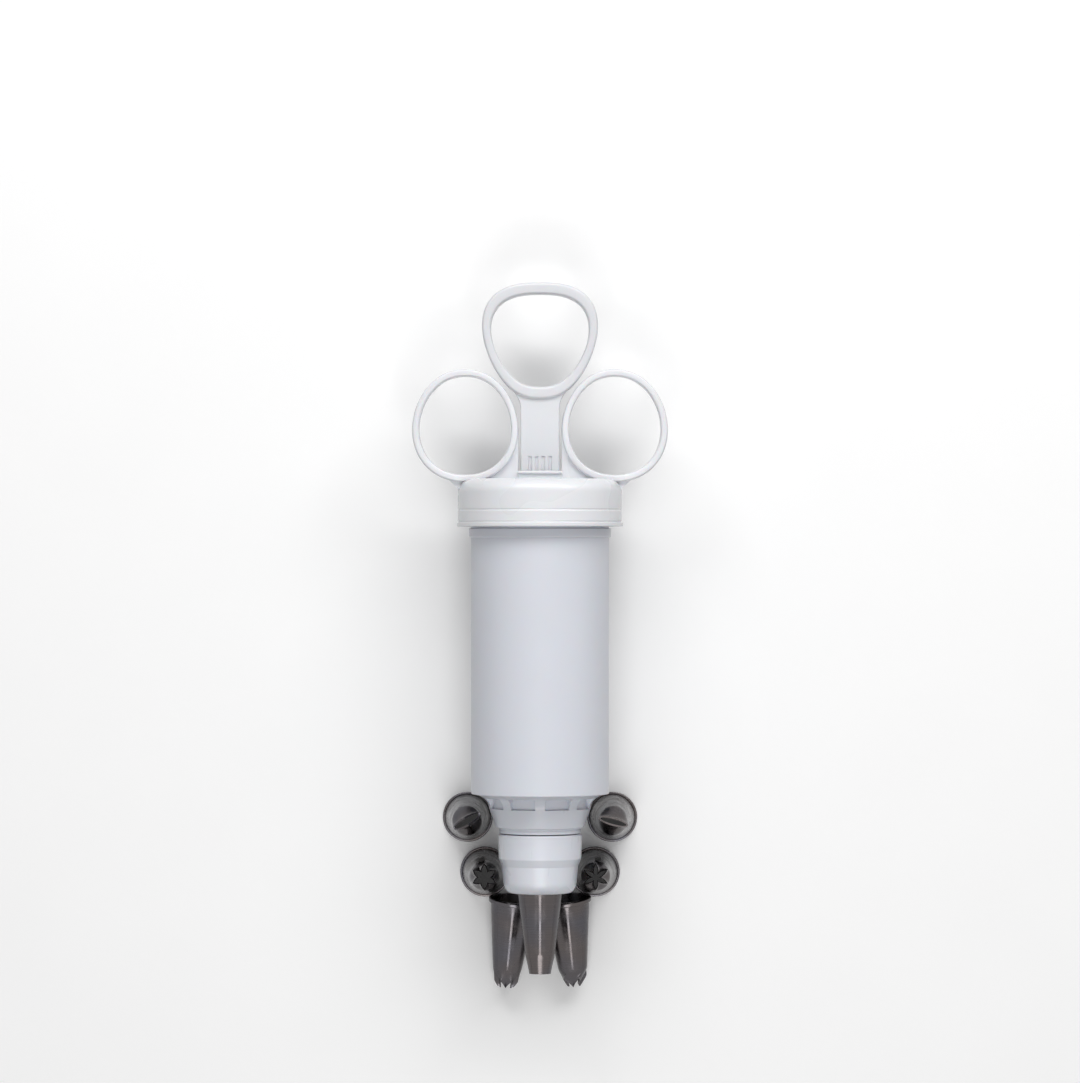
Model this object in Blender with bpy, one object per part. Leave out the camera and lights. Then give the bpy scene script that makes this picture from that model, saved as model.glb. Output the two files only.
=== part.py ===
"""A cake decorating syringe: barrel, ring-handled cap, plunger, nozzle collar and seven piping nozzles.

The syringe lies level with its axis along Y, thumb ring at +Y and rings flat.
Its cap touches the surface at z = 0, on which the loose nozzles stand and lie.
"""

import math

import bmesh
import bpy
from mathutils import Matrix, Vector

# fits shared by all pieces
FIT_GAP = 0.0003
CUT_OVERRUN = 0.002
WELD_DISTANCE = 0.00001
RIM_EMBED_SHARE = 0.9
SHADING_EDGE_ANGLE = math.radians(35)
ROUNDED_EDGE_ANGLE = math.radians(50)

# barrel
BARREL_RADIUS = 0.0207
BARREL_WALL = 0.0016
BARREL_LENGTH = 0.0916
SHOULDER_PLACE = -0.0466
MOUTH_LAND_HEIGHT = 0.0012
MOUTH_LAND_LENGTH = 0.0109
MOUTH_CHAMFER = 0.0004
STOP_RING_HEIGHT = 0.0006
STOP_RING_WIDTH = 0.0026
STOP_RING_GAP = 0.0006
SHOULDER_LENGTH = 0.0042
SHOULDER_WALL = 0.0024
SHOULDER_STEPS = 4
NECK_BASE_LEDGE = 0.0006
NECK_BASE_TAPER = 0.0021
NECK_BASE_LENGTH = 0.0057
NECK_GROOVE_DEPTH = 0.0010
NECK_GROOVE_WIDTH = 0.0018
NECK_SEAT_MARGIN = 0.0020
NECK_WALL = 0.0026
NECK_LENGTH = 0.0144
CHAMBER_CONE_LENGTH = 0.0025
SHOULDER_FLOOR = 0.0009
POCKET_COUNT = 9
POCKET_DEPTH = 0.0009
POCKET_LENGTH = 0.0032
POCKET_SETBACK = 0.0011
POCKET_RIB_WIDTH = 0.0028
POCKET_STEPS = 4

# ring-handled cap
CAP_WALL = 0.0024
CAP_RIM_STEP = 0.0003
CAP_RIM_HEIGHT = 0.0013
CAP_HEIGHT = 0.0143
CAP_TOP_WALL = 0.0026
CAP_EDGE_ROUND = 0.0040
CAP_EDGE_STEPS = 4
STEM_SIDE_GAP = 0.0007
FINGER_HOLE_SILL = 0.0012
FINGER_HOLE_HALF_WIDTH = 0.0137
FINGER_HOLE_HALF_HEIGHT = 0.0147
FINGER_RING_WALL = 0.0022
FINGER_RING_DEPTH = 0.0090
FINGER_NARROWING_SHARE = -0.07
FINGER_SQUARE_SHARE = 0.92
WEB_DEPTH = 0.0060
WEB_EMBED = 0.0015
WEB_FOOT_INSET = 0.0012
WEB_SIDE_ANGLE = math.radians(205)
RING_EDGE_ROUND = 0.0010
GUIDE_HEIGHT = 0.0024
GUIDE_WALL = 0.0006
GUIDE_EDGE_ROUND = 0.0004

# plunger
STEM_WIDTH = 0.0116
STEM_DEPTH = 0.0060
STEM_EDGE_ROUND = 0.0005
SLOT_GAP = 0.0003
THUMB_RING_NEST = 0.0052
THUMB_HOLE_HALF_WIDTH = 0.0142
THUMB_HOLE_HALF_HEIGHT = 0.0138
THUMB_RING_SIDE_WALL = 0.0027
THUMB_RING_TOP_WALL = 0.0037
THUMB_RING_DEPTH = 0.0084
THUMB_NARROWING_SHARE = 0.22
THUMB_SQUARE_SHARE = 0.76
FLARE_ANGLE = math.radians(-52)
FLARE_BRIDGE_SHARE = 1.2
FLARE_LENGTH = 0.0067
FLARE_STEPS = 6
RIB_COUNT = 4
RIB_PITCH = 0.0020
RIB_GROOVE_WIDTH = 0.0009
RIB_GROOVE_DEPTH = 0.0004
RIB_START_RISE = 0.0081
FOOT_MARGIN = 0.0010
FOOT_HEIGHT = 0.0022

# piston and its seal
PISTON_GAP = 0.0008
PISTON_REST_GAP = 0.0007
PISTON_LENGTH = 0.0110
PISTON_NOSE_INSET = 0.0005
PISTON_WEB = 0.0018
PISTON_RIM_WALL = 0.0034
HUB_WALL = 0.0013
SEAL_SECTION = 0.0024
SEAL_WIDTH = 0.0030
SEAL_PLACE = 0.0062
SEAL_EDGE = 0.0006

# nozzle collar
COLLAR_TOP_SIDE_WALL = 0.0027
COLLAR_BAND_LENGTH = 0.0073
COLLAR_BAND_TAPER = 0.0002
COLLAR_STEP_LENGTH = 0.0023
COLLAR_STEP_SIDE_WALL = 0.0016
COLLAR_END_SIDE_WALL = 0.0012
COLLAR_END_WALL = 0.0016
COLLAR_EDGE_ROUND = 0.0026
COLLAR_EDGE_LENGTH = 0.0040
COLLAR_EDGE_STEPS = 4
COLLAR_TOP_CHAMFER = 0.0004

# piping nozzles
NOZZLE_LENGTH = 0.0275
NOZZLE_BEAD_RADIUS = 0.0076
NOZZLE_BEAD_HEIGHT = 0.0014
NOZZLE_BEAD_ROUND = 0.0004
NOZZLE_BODY_RADIUS = 0.0069
NOZZLE_TIP_RADIUS = 0.0037
NOZZLE_WALL = 0.0005
NOZZLE_TIP_LENGTH = 0.0062
NOZZLE_STEEL = ((0.45, 0.44, 0.44), 0.2, 1.0)
TIP_RINGS = 3
PLAIN_TIP_FACETS = 24
PLAIN_TIPS = {
    "round": {"widening_share": -0.12, "flattening_share": 0.12, "cut_share": 0.0},
    "leaf": {"widening_share": 0.10, "flattening_share": 0.62, "cut_share": 0.62},
    "ribbon": {"widening_share": 0.22, "flattening_share": 0.66, "cut_share": 0.0},
}
STAR_TIPS = {
    "open_star": {"teeth": 6, "facets_per_tooth": 6, "bend_share": 0.40, "notch_share": 0.45, "lean": 0.0},
    "closed_star": {"teeth": 6, "facets_per_tooth": 6, "bend_share": 0.66, "notch_share": 0.60, "lean": 0.0},
    "fine_star": {"teeth": 8, "facets_per_tooth": 4, "bend_share": 0.34, "notch_share": 0.36, "lean": 0.0},
    "twist_star": {"teeth": 5, "facets_per_tooth": 6, "bend_share": 0.48, "notch_share": 0.50, "lean": 0.5},
}

# places of the loose nozzles on the surface
SHOULDER_PAIR_SIDE_GAP = 0.0030
SHOULDER_PAIR_DROP = 0.0006
COLLAR_PAIR_SIDE_GAP = 0.0004
COLLAR_PAIR_DROP = 0.0015
FRONT_PAIR_DROP = 0.0001
FRONT_PAIR_YAW = math.radians(5.5)
LEAF_TURN = math.radians(30)
RIBBON_TURN = math.radians(-15)

# facets of turned pieces
LARGE_FACETS = 48
MEDIUM_FACETS = 36
RING_POINTS = 32

# radii worked out from the sizes above
BORE_RADIUS = BARREL_RADIUS - BARREL_WALL
MOUTH_LAND_RADIUS = BARREL_RADIUS + MOUTH_LAND_HEIGHT
CAP_BORE = MOUTH_LAND_RADIUS + FIT_GAP
CAP_BODY_RADIUS = CAP_BORE + CAP_WALL
CAP_RADIUS = CAP_BODY_RADIUS + CAP_RIM_STEP
NECK_RADIUS = NOZZLE_BEAD_RADIUS + NECK_SEAT_MARGIN
NECK_BORE = NECK_RADIUS - NECK_WALL
COLLAR_BORE = NECK_RADIUS + FIT_GAP
COLLAR_TOP_RADIUS = COLLAR_BORE + COLLAR_TOP_SIDE_WALL
COLLAR_STEP_RADIUS = COLLAR_BORE + COLLAR_STEP_SIDE_WALL
COLLAR_END_RADIUS = COLLAR_BORE + COLLAR_END_SIDE_WALL
NECK_BASE_RADIUS = COLLAR_TOP_RADIUS + NECK_BASE_LEDGE
SHOULDER_END_RADIUS = NECK_BASE_RADIUS + NECK_BASE_TAPER
POCKET_FLOOR_RADIUS = SHOULDER_END_RADIUS - POCKET_DEPTH
CHAMBER_END_RADIUS = SHOULDER_END_RADIUS - SHOULDER_WALL
PISTON_RADIUS = BORE_RADIUS - PISTON_GAP
PISTON_NOSE_RADIUS = CHAMBER_END_RADIUS - PISTON_NOSE_INSET
SEAL_RADIUS = BORE_RADIUS - FIT_GAP
FOOT_RADIUS = math.hypot(STEM_WIDTH / 2, STEM_DEPTH / 2) + FOOT_MARGIN

# places along the syringe axis
MOUTH = SHOULDER_PLACE + BARREL_LENGTH
CAP_UNDERSIDE = MOUTH + FIT_GAP
CAP_TOP = CAP_UNDERSIDE + CAP_TOP_WALL
CAP_SKIRT_END = CAP_TOP - CAP_HEIGHT
SHOULDER_END = SHOULDER_PLACE - SHOULDER_LENGTH
NECK_BASE_END = SHOULDER_END - NECK_BASE_LENGTH
NECK_START = NECK_BASE_END - NECK_GROOVE_WIDTH
NECK_END = NECK_START - NECK_LENGTH
FINGER_RING_PLACE = CAP_TOP + FINGER_HOLE_SILL + FINGER_HOLE_HALF_HEIGHT
FINGER_RING_TOP = FINGER_RING_PLACE + FINGER_HOLE_HALF_HEIGHT + FINGER_RING_WALL
THUMB_RING_PLACE = FINGER_RING_TOP - THUMB_RING_NEST + THUMB_HOLE_HALF_HEIGHT
CHAMBER_CONE_START = SHOULDER_PLACE + BARREL_WALL
CHAMBER_CONE_END = CHAMBER_CONE_START - CHAMBER_CONE_LENGTH
PISTON_FRONT = CHAMBER_CONE_END + PISTON_REST_GAP
PISTON_BACK = PISTON_FRONT + PISTON_LENGTH
SOCKET_FLOOR = PISTON_FRONT + PISTON_WEB
FOOT_FACE = SOCKET_FLOOR + FIT_GAP
NOZZLE_SEAT = NECK_END - FIT_GAP
COLLAR_TOP = NECK_START - FIT_GAP
COLLAR_FLOOR = NOZZLE_SEAT - NOZZLE_BEAD_HEIGHT - FIT_GAP
COLLAR_END = COLLAR_FLOOR - COLLAR_END_WALL
COLLAR_BAND_END = COLLAR_TOP - COLLAR_BAND_LENGTH

# places beside the syringe
FINGER_RING_OFFSET = STEM_WIDTH / 2 + STEM_SIDE_GAP + FINGER_RING_WALL + FINGER_HOLE_HALF_WIDTH
SHOULDER_PAIR_OFFSET = SHOULDER_END_RADIUS + NOZZLE_TIP_RADIUS + SHOULDER_PAIR_SIDE_GAP
SHOULDER_PAIR_PLACE = SHOULDER_PLACE - NOZZLE_BEAD_RADIUS - SHOULDER_PAIR_DROP
COLLAR_PAIR_OFFSET = COLLAR_TOP_RADIUS + NOZZLE_TIP_RADIUS + COLLAR_PAIR_SIDE_GAP
COLLAR_PAIR_PLACE = SHOULDER_PAIR_PLACE - 2 * NOZZLE_BEAD_RADIUS - COLLAR_PAIR_DROP
FRONT_PAIR_OFFSET = NOZZLE_BEAD_RADIUS + FIT_GAP
FRONT_PAIR_PLACE = COLLAR_PAIR_PLACE - NOZZLE_BEAD_RADIUS - FRONT_PAIR_DROP


def clear_scene():
    for item in list(bpy.data.objects):
        bpy.data.objects.remove(item, do_unlink=True)


def finish(name, colour, roughness, metallic=0.0):
    material = bpy.data.materials.new(name)
    material.use_nodes = True
    shader = material.node_tree.nodes["Principled BSDF"]
    shader.inputs["Base Color"].default_value = (*colour, 1.0)
    shader.inputs["Roughness"].default_value = roughness
    shader.inputs["Metallic"].default_value = metallic
    return material


def add_object(name, mesh_source, material=None, parent=None):
    """Turns a bmesh into a named object with smooth faces between sharp edges."""
    bmesh.ops.recalc_face_normals(mesh_source, faces=mesh_source.faces)
    mesh = bpy.data.meshes.new(name)
    mesh_source.to_mesh(mesh)
    mesh_source.free()
    mesh.shade_smooth()
    mesh.set_sharp_from_angle(angle=SHADING_EDGE_ANGLE)
    item = bpy.data.objects.new(name, mesh)
    bpy.context.scene.collection.objects.link(item)
    if material:
        mesh.materials.append(material)
    item.parent = parent
    return item


def as_tool(item):
    item.hide_render = True
    item.display_type = "WIRE"
    return item


def combine(item, tool, operation):
    """Adds a live Boolean that joins or cuts with a wire-shown tool object."""
    step = item.modifiers.new(f"{operation.lower()} {tool.name}", "BOOLEAN")
    step.operation = operation
    step.solver = "EXACT"
    step.object = as_tool(tool)


def round_edges(item, width, segments=2):
    step = item.modifiers.new("rounded edges", "BEVEL")
    step.width = width
    step.segments = segments
    step.limit_method = "ANGLE"
    step.angle_limit = ROUNDED_EDGE_ANGLE


def arc(centre, radius, start, end, steps, length=None):
    """Points of an arc of (radius, place), drawn out along the axis where a length is given."""
    along = length or radius
    points = []
    for step in range(steps + 1):
        angle = math.radians(start + (end - start) * step / steps)
        points.append((centre[0] + radius * math.cos(angle), centre[1] + along * math.sin(angle)))
    return points


def turned_mesh(outline, facets):
    """Spins a closed outline of (radius, place) points round the Y axis."""
    shape = bmesh.new()
    corners = [shape.verts.new((radius, place, 0)) for radius, place in outline]
    edges = []
    for first, second in zip(corners, corners[1:] + corners[:1]):
        on_axis = first.co.x == 0 and second.co.x == 0
        if not on_axis:
            edges.append(shape.edges.new((first, second)))
    bmesh.ops.spin(
        shape,
        geom=corners + edges,
        cent=(0, 0, 0),
        axis=(0, 1, 0),
        angle=math.tau,
        steps=facets,
        use_merge=True,
    )
    bmesh.ops.remove_doubles(shape, verts=shape.verts, dist=WELD_DISTANCE)
    return shape


def plate_mesh(outline, depth):
    """A flat plate of the (x, y) outline, centred on z = 0."""
    shape = bmesh.new()
    corners = [shape.verts.new((x, y, -depth / 2)) for x, y in outline]
    face = shape.faces.new(corners)
    grown = bmesh.ops.extrude_face_region(shape, geom=[face])
    moved = [part for part in grown["geom"] if isinstance(part, bmesh.types.BMVert)]
    bmesh.ops.translate(shape, vec=(0, 0, depth), verts=moved)
    return shape


def bar_mesh(section, start, end):
    """A bar of the (x, z) section that runs along Y from start to end."""
    shape = bmesh.new()
    corners = [shape.verts.new((x, start, z)) for x, z in section]
    face = shape.faces.new(corners)
    grown = bmesh.ops.extrude_face_region(shape, geom=[face])
    moved = [part for part in grown["geom"] if isinstance(part, bmesh.types.BMVert)]
    bmesh.ops.translate(shape, vec=(0, end - start, 0), verts=moved)
    return shape


def rectangle(width, depth):
    return [
        (-width / 2, -depth / 2),
        (width / 2, -depth / 2),
        (width / 2, depth / 2),
        (-width / 2, depth / 2),
    ]


def egg_point(ring, angle, grow_side=0.0, grow_top=0.0):
    """A point of a squarish egg, widest above its middle where its narrowing share is positive."""
    rise = math.sin(angle)
    reach = math.copysign(abs(math.cos(angle)) ** ring["square_share"], math.cos(angle))
    width = (ring["half_width"] + grow_side) * (1 + ring["narrowing_share"] * rise)
    return (
        ring["x"] + width * reach,
        ring["y"] + (ring["half_height"] + grow_top) * rise,
    )


def egg(ring, grow_side=0.0, grow_top=0.0, points=RING_POINTS):
    return [egg_point(ring, math.tau * step / points, grow_side, grow_top) for step in range(points)]


def band_mesh(hole, rim, depth):
    """A flat band between two outlines of as many points."""
    shape = bmesh.new()
    loops = []
    for outline, z in ((hole, depth / 2), (rim, depth / 2), (rim, -depth / 2), (hole, -depth / 2)):
        loops.append([shape.verts.new((x, y, z)) for x, y in outline])
    count = len(hole)
    for first, second in zip(loops, loops[1:] + loops[:1]):
        for step in range(count):
            following = (step + 1) % count
            shape.faces.new((first[step], first[following], second[following], second[step]))
    return shape


def make_barrel(material, parent):
    land_end = MOUTH - MOUTH_LAND_LENGTH
    ring_top = CAP_SKIRT_END - STOP_RING_GAP
    ring_end = ring_top - STOP_RING_WIDTH
    ring_radius = BARREL_RADIUS + STOP_RING_HEIGHT
    groove_radius = NECK_BASE_RADIUS - NECK_GROOVE_DEPTH
    outline = [
        (MOUTH_LAND_RADIUS - MOUTH_CHAMFER, MOUTH),
        (MOUTH_LAND_RADIUS, MOUTH - MOUTH_CHAMFER),
        (MOUTH_LAND_RADIUS, land_end),
        (BARREL_RADIUS, land_end - MOUTH_CHAMFER),
        (BARREL_RADIUS, ring_top),
        (ring_radius, ring_top - MOUTH_CHAMFER / 2),
        (ring_radius, ring_end + MOUTH_CHAMFER / 2),
        (BARREL_RADIUS, ring_end),
    ]
    for step in range(SHOULDER_STEPS + 1):
        turn = math.pi / 2 * step / SHOULDER_STEPS
        fall = BARREL_RADIUS - SHOULDER_END_RADIUS
        outline.append(
            (BARREL_RADIUS - fall * math.sin(turn), SHOULDER_PLACE - SHOULDER_LENGTH * (1 - math.cos(turn)))
        )
    outline += [
        (NECK_BASE_RADIUS, NECK_BASE_END),
        (groove_radius, NECK_BASE_END - MOUTH_CHAMFER),
        (groove_radius, NECK_START),
        (NECK_RADIUS, NECK_START),
        (NECK_RADIUS, NECK_END + MOUTH_CHAMFER),
        (NECK_RADIUS - MOUTH_CHAMFER, NECK_END),
        (NECK_BORE, NECK_END),
        (NECK_BORE, NECK_BASE_END + MOUTH_CHAMFER),
        (CHAMBER_END_RADIUS - NECK_WALL / 2, SHOULDER_END - SHOULDER_FLOOR),
        (CHAMBER_END_RADIUS, CHAMBER_CONE_END),
        (BORE_RADIUS, CHAMBER_CONE_START),
        (BORE_RADIUS, MOUTH - MOUTH_CHAMFER),
        (BORE_RADIUS + MOUTH_CHAMFER, MOUTH),
    ]
    barrel = add_object("barrel", turned_mesh(outline, LARGE_FACETS), material, parent)
    add_shoulder_pockets(barrel, parent)
    return barrel


def add_shoulder_pockets(barrel, parent):
    """Cuts the ring of pockets that leaves short ribs on the shoulder."""
    top = SHOULDER_PLACE - POCKET_SETBACK
    outer = BARREL_RADIUS + CUT_OVERRUN
    rib = 2 * math.asin(POCKET_RIB_WIDTH / 2 / POCKET_FLOOR_RADIUS)
    span = math.tau / POCKET_COUNT - rib
    for pocket in range(POCKET_COUNT):
        middle = math.pi / 2 + math.tau * (pocket + 0.5) / POCKET_COUNT
        section = []
        for step in range(POCKET_STEPS + 1):
            angle = middle - span / 2 + span * step / POCKET_STEPS
            section.append((POCKET_FLOOR_RADIUS * math.cos(angle), POCKET_FLOOR_RADIUS * math.sin(angle)))
        for step in range(POCKET_STEPS, -1, -1):
            angle = middle - span / 2 + span * step / POCKET_STEPS
            section.append((outer * math.cos(angle), outer * math.sin(angle)))
        cutter = add_object(f"shoulder_pocket_{pocket + 1}", bar_mesh(section, top - POCKET_LENGTH, top))
        cutter.parent = parent
        combine(barrel, cutter, "DIFFERENCE")


def finger_ring(side):
    return {
        "x": side * FINGER_RING_OFFSET,
        "y": FINGER_RING_PLACE,
        "half_width": FINGER_HOLE_HALF_WIDTH,
        "half_height": FINGER_HOLE_HALF_HEIGHT,
        "narrowing_share": FINGER_NARROWING_SHARE,
        "square_share": FINGER_SQUARE_SHARE,
    }


def web_outline(side, ring):
    """The web that ties one finger ring to the cap, with its straight wall beside the stem."""
    inner_wall = STEM_WIDTH / 2 + STEM_SIDE_GAP
    rim_angle = math.pi - WEB_SIDE_ANGLE if side > 0 else WEB_SIDE_ANGLE
    embed = FINGER_RING_WALL * RIM_EMBED_SHARE
    outer_point = egg_point(ring, rim_angle, embed, embed)
    foot = CAP_BODY_RADIUS - WEB_FOOT_INSET
    return [
        (side * inner_wall, CAP_TOP - WEB_EMBED),
        (side * inner_wall, FINGER_RING_PLACE),
        (ring["x"], FINGER_RING_PLACE),
        outer_point,
        (side * foot, CAP_TOP - CAP_EDGE_ROUND),
        (side * foot, CAP_TOP - CAP_EDGE_ROUND - WEB_EMBED),
        (side * (foot - CAP_EDGE_ROUND), CAP_TOP - WEB_EMBED),
    ]


def make_ring_cap(material, parent):
    """The screw cap with both finger rings moulded on, the feature that carries the fingers' pull."""
    edge_centre = (CAP_BODY_RADIUS - CAP_EDGE_ROUND, CAP_TOP - CAP_EDGE_ROUND)
    outline = [(0, CAP_TOP)]
    outline += arc(edge_centre, CAP_EDGE_ROUND, 90, 0, CAP_EDGE_STEPS)
    outline += [
        (CAP_BODY_RADIUS, CAP_SKIRT_END + CAP_RIM_HEIGHT),
        (CAP_RADIUS, CAP_SKIRT_END + CAP_RIM_HEIGHT - CAP_RIM_STEP),
        (CAP_RADIUS, CAP_SKIRT_END + CAP_RIM_STEP),
        (CAP_BODY_RADIUS, CAP_SKIRT_END),
        (0, CAP_SKIRT_END),
    ]
    cap = add_object("ring_cap", turned_mesh(outline, LARGE_FACETS), material, parent)

    for side, word in ((-1, "left"), (1, "right")):
        ring = finger_ring(side)
        web = add_object(f"{word}_web", plate_mesh(web_outline(side, ring), WEB_DEPTH), None, parent)
        half_wall = FINGER_RING_WALL / 2
        opening = egg(ring, half_wall, half_wall)
        opening_tool = add_object(
            f"{word}_web_opening", plate_mesh(opening, WEB_DEPTH + CUT_OVERRUN), None, parent
        )
        combine(web, opening_tool, "DIFFERENCE")
        rim = egg(ring, FINGER_RING_WALL, FINGER_RING_WALL)
        band = add_object(
            f"{word}_finger_ring", band_mesh(egg(ring), rim, FINGER_RING_DEPTH), None, parent
        )
        round_edges(band, RING_EDGE_ROUND)
        combine(cap, web, "UNION")
        combine(cap, band, "UNION")

    guide_width = STEM_WIDTH + 2 * (SLOT_GAP + GUIDE_WALL)
    guide_depth = STEM_DEPTH + 2 * (SLOT_GAP + GUIDE_WALL)
    guide_section = rectangle(guide_width, guide_depth)
    guide = add_object(
        "stem_guide", bar_mesh(guide_section, CAP_TOP - WEB_EMBED, CAP_TOP + GUIDE_HEIGHT), None, parent
    )
    round_edges(guide, GUIDE_EDGE_ROUND)
    combine(cap, guide, "UNION")

    cavity_outline = [
        (0, CAP_UNDERSIDE),
        (CAP_BORE, CAP_UNDERSIDE),
        (CAP_BORE, CAP_SKIRT_END - CUT_OVERRUN),
        (0, CAP_SKIRT_END - CUT_OVERRUN),
    ]
    cavity = add_object("cap_cavity", turned_mesh(cavity_outline, LARGE_FACETS), None, parent)
    combine(cap, cavity, "DIFFERENCE")
    slot_section = rectangle(STEM_WIDTH + 2 * SLOT_GAP, STEM_DEPTH + 2 * SLOT_GAP)
    slot = add_object(
        "stem_slot",
        bar_mesh(slot_section, CAP_UNDERSIDE - CUT_OVERRUN, CAP_TOP + GUIDE_HEIGHT + CUT_OVERRUN),
        None,
        parent,
    )
    combine(cap, slot, "DIFFERENCE")
    return cap


def thumb_ring():
    return {
        "x": 0,
        "y": THUMB_RING_PLACE,
        "half_width": THUMB_HOLE_HALF_WIDTH,
        "half_height": THUMB_HOLE_HALF_HEIGHT,
        "narrowing_share": THUMB_NARROWING_SHARE,
        "square_share": THUMB_SQUARE_SHARE,
    }


def flare_outline(ring):
    """The stem's upper end, which widens in two hollow curves into the thumb ring."""
    half_stem = STEM_WIDTH / 2
    side_embed = THUMB_RING_SIDE_WALL * RIM_EMBED_SHARE
    joint = egg_point(ring, FLARE_ANGLE, side_embed, THUMB_RING_TOP_WALL * RIM_EMBED_SHARE)
    low = THUMB_RING_PLACE - THUMB_HOLE_HALF_HEIGHT - FLARE_LENGTH
    right = []
    for step in range(FLARE_STEPS + 1):
        share = step / FLARE_STEPS
        right.append((half_stem + (joint[0] - half_stem) * share**2, low + (joint[1] - low) * share))
    bridge_angle = FLARE_ANGLE * FLARE_BRIDGE_SHARE
    bridge = [
        egg_point(ring, angle, THUMB_RING_SIDE_WALL / 2, THUMB_RING_TOP_WALL / 2)
        for angle in (bridge_angle, -math.pi / 2, math.pi - bridge_angle)
    ]
    left = [(-x, y) for x, y in reversed(right)]
    end = CAP_TOP + RIB_START_RISE - WEB_EMBED
    return [(half_stem, end)] + right + bridge + left + [(-half_stem, end)]


def ribbed_section():
    """The stem's section, with long grooves on both flat faces that leave ribs between them."""
    half_width = STEM_WIDTH / 2
    half_depth = STEM_DEPTH / 2
    face = [(half_width, 0)]
    for groove in range(RIB_COUNT, 0, -1):
        middle = (groove - (RIB_COUNT + 1) / 2) * RIB_PITCH
        face += [
            (middle + RIB_GROOVE_WIDTH / 2, 0),
            (middle + RIB_GROOVE_WIDTH / 2, -RIB_GROOVE_DEPTH),
            (middle - RIB_GROOVE_WIDTH / 2, -RIB_GROOVE_DEPTH),
            (middle - RIB_GROOVE_WIDTH / 2, 0),
        ]
    face.append((-half_width, 0))
    upper = [(x, half_depth + dip) for x, dip in face]
    lower = [(-x, -z) for x, z in upper]
    return upper + lower


def make_plunger_rod(material, parent):
    """Thumb ring, flat stem, ribbed lower stem and the round foot that the piston holds."""
    ribs_end = FOOT_FACE + FOOT_HEIGHT / 2
    rod = add_object(
        "plunger_rod", bar_mesh(ribbed_section(), ribs_end, CAP_TOP + RIB_START_RISE), material, parent
    )
    ring = thumb_ring()
    blade = add_object("stem_blade", plate_mesh(flare_outline(ring), STEM_DEPTH), None, parent)
    round_edges(blade, STEM_EDGE_ROUND, 1)
    rim = egg(ring, THUMB_RING_SIDE_WALL, THUMB_RING_TOP_WALL)
    band = add_object("thumb_band", band_mesh(egg(ring), rim, THUMB_RING_DEPTH), None, parent)
    round_edges(band, RING_EDGE_ROUND)
    foot_outline = [
        (0, FOOT_FACE),
        (FOOT_RADIUS, FOOT_FACE),
        (FOOT_RADIUS, FOOT_FACE + FOOT_HEIGHT),
        (0, FOOT_FACE + FOOT_HEIGHT),
    ]
    foot = add_object("stem_foot", turned_mesh(foot_outline, MEDIUM_FACETS), None, parent)
    for tool in (blade, band, foot):
        combine(rod, tool, "UNION")
    return rod


def make_piston(material, parent):
    cone_slope = CHAMBER_CONE_LENGTH / (BORE_RADIUS - CHAMBER_END_RADIUS)
    edge = PISTON_FRONT + (PISTON_RADIUS - PISTON_NOSE_RADIUS) * cone_slope
    groove_radius = SEAL_RADIUS - SEAL_SECTION - FIT_GAP
    groove_front = PISTON_FRONT + SEAL_PLACE - SEAL_WIDTH / 2 - FIT_GAP
    groove_back = PISTON_FRONT + SEAL_PLACE + SEAL_WIDTH / 2 + FIT_GAP
    rim_inside = PISTON_RADIUS - PISTON_RIM_WALL
    socket = FOOT_RADIUS + FIT_GAP
    hub_top = FOOT_FACE + FOOT_HEIGHT
    outline = [
        (0, PISTON_FRONT),
        (PISTON_NOSE_RADIUS, PISTON_FRONT),
        (PISTON_RADIUS, edge),
        (PISTON_RADIUS, groove_front),
        (groove_radius, groove_front),
        (groove_radius, groove_back),
        (PISTON_RADIUS, groove_back),
        (PISTON_RADIUS, PISTON_BACK),
        (rim_inside, PISTON_BACK),
        (rim_inside, edge + PISTON_WEB),
        (PISTON_NOSE_RADIUS, SOCKET_FLOOR),
        (socket + HUB_WALL, SOCKET_FLOOR),
        (socket + HUB_WALL, hub_top),
        (socket, hub_top),
        (socket, SOCKET_FLOOR),
        (0, SOCKET_FLOOR),
    ]
    return add_object("piston", turned_mesh(outline, MEDIUM_FACETS), material, parent)


def make_piston_seal(material, parent):
    """The soft ring in the piston's groove, with a rounded outer side."""
    middle = PISTON_FRONT + SEAL_PLACE
    inner = SEAL_RADIUS - SEAL_SECTION
    half = SEAL_WIDTH / 2
    outline = [
        (inner, middle - half),
        (SEAL_RADIUS - SEAL_EDGE, middle - half),
        (SEAL_RADIUS, middle - half + SEAL_EDGE),
        (SEAL_RADIUS, middle + half - SEAL_EDGE),
        (SEAL_RADIUS - SEAL_EDGE, middle + half),
        (inner, middle + half),
    ]
    return add_object("piston_seal", turned_mesh(outline, MEDIUM_FACETS), material, parent)


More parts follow.
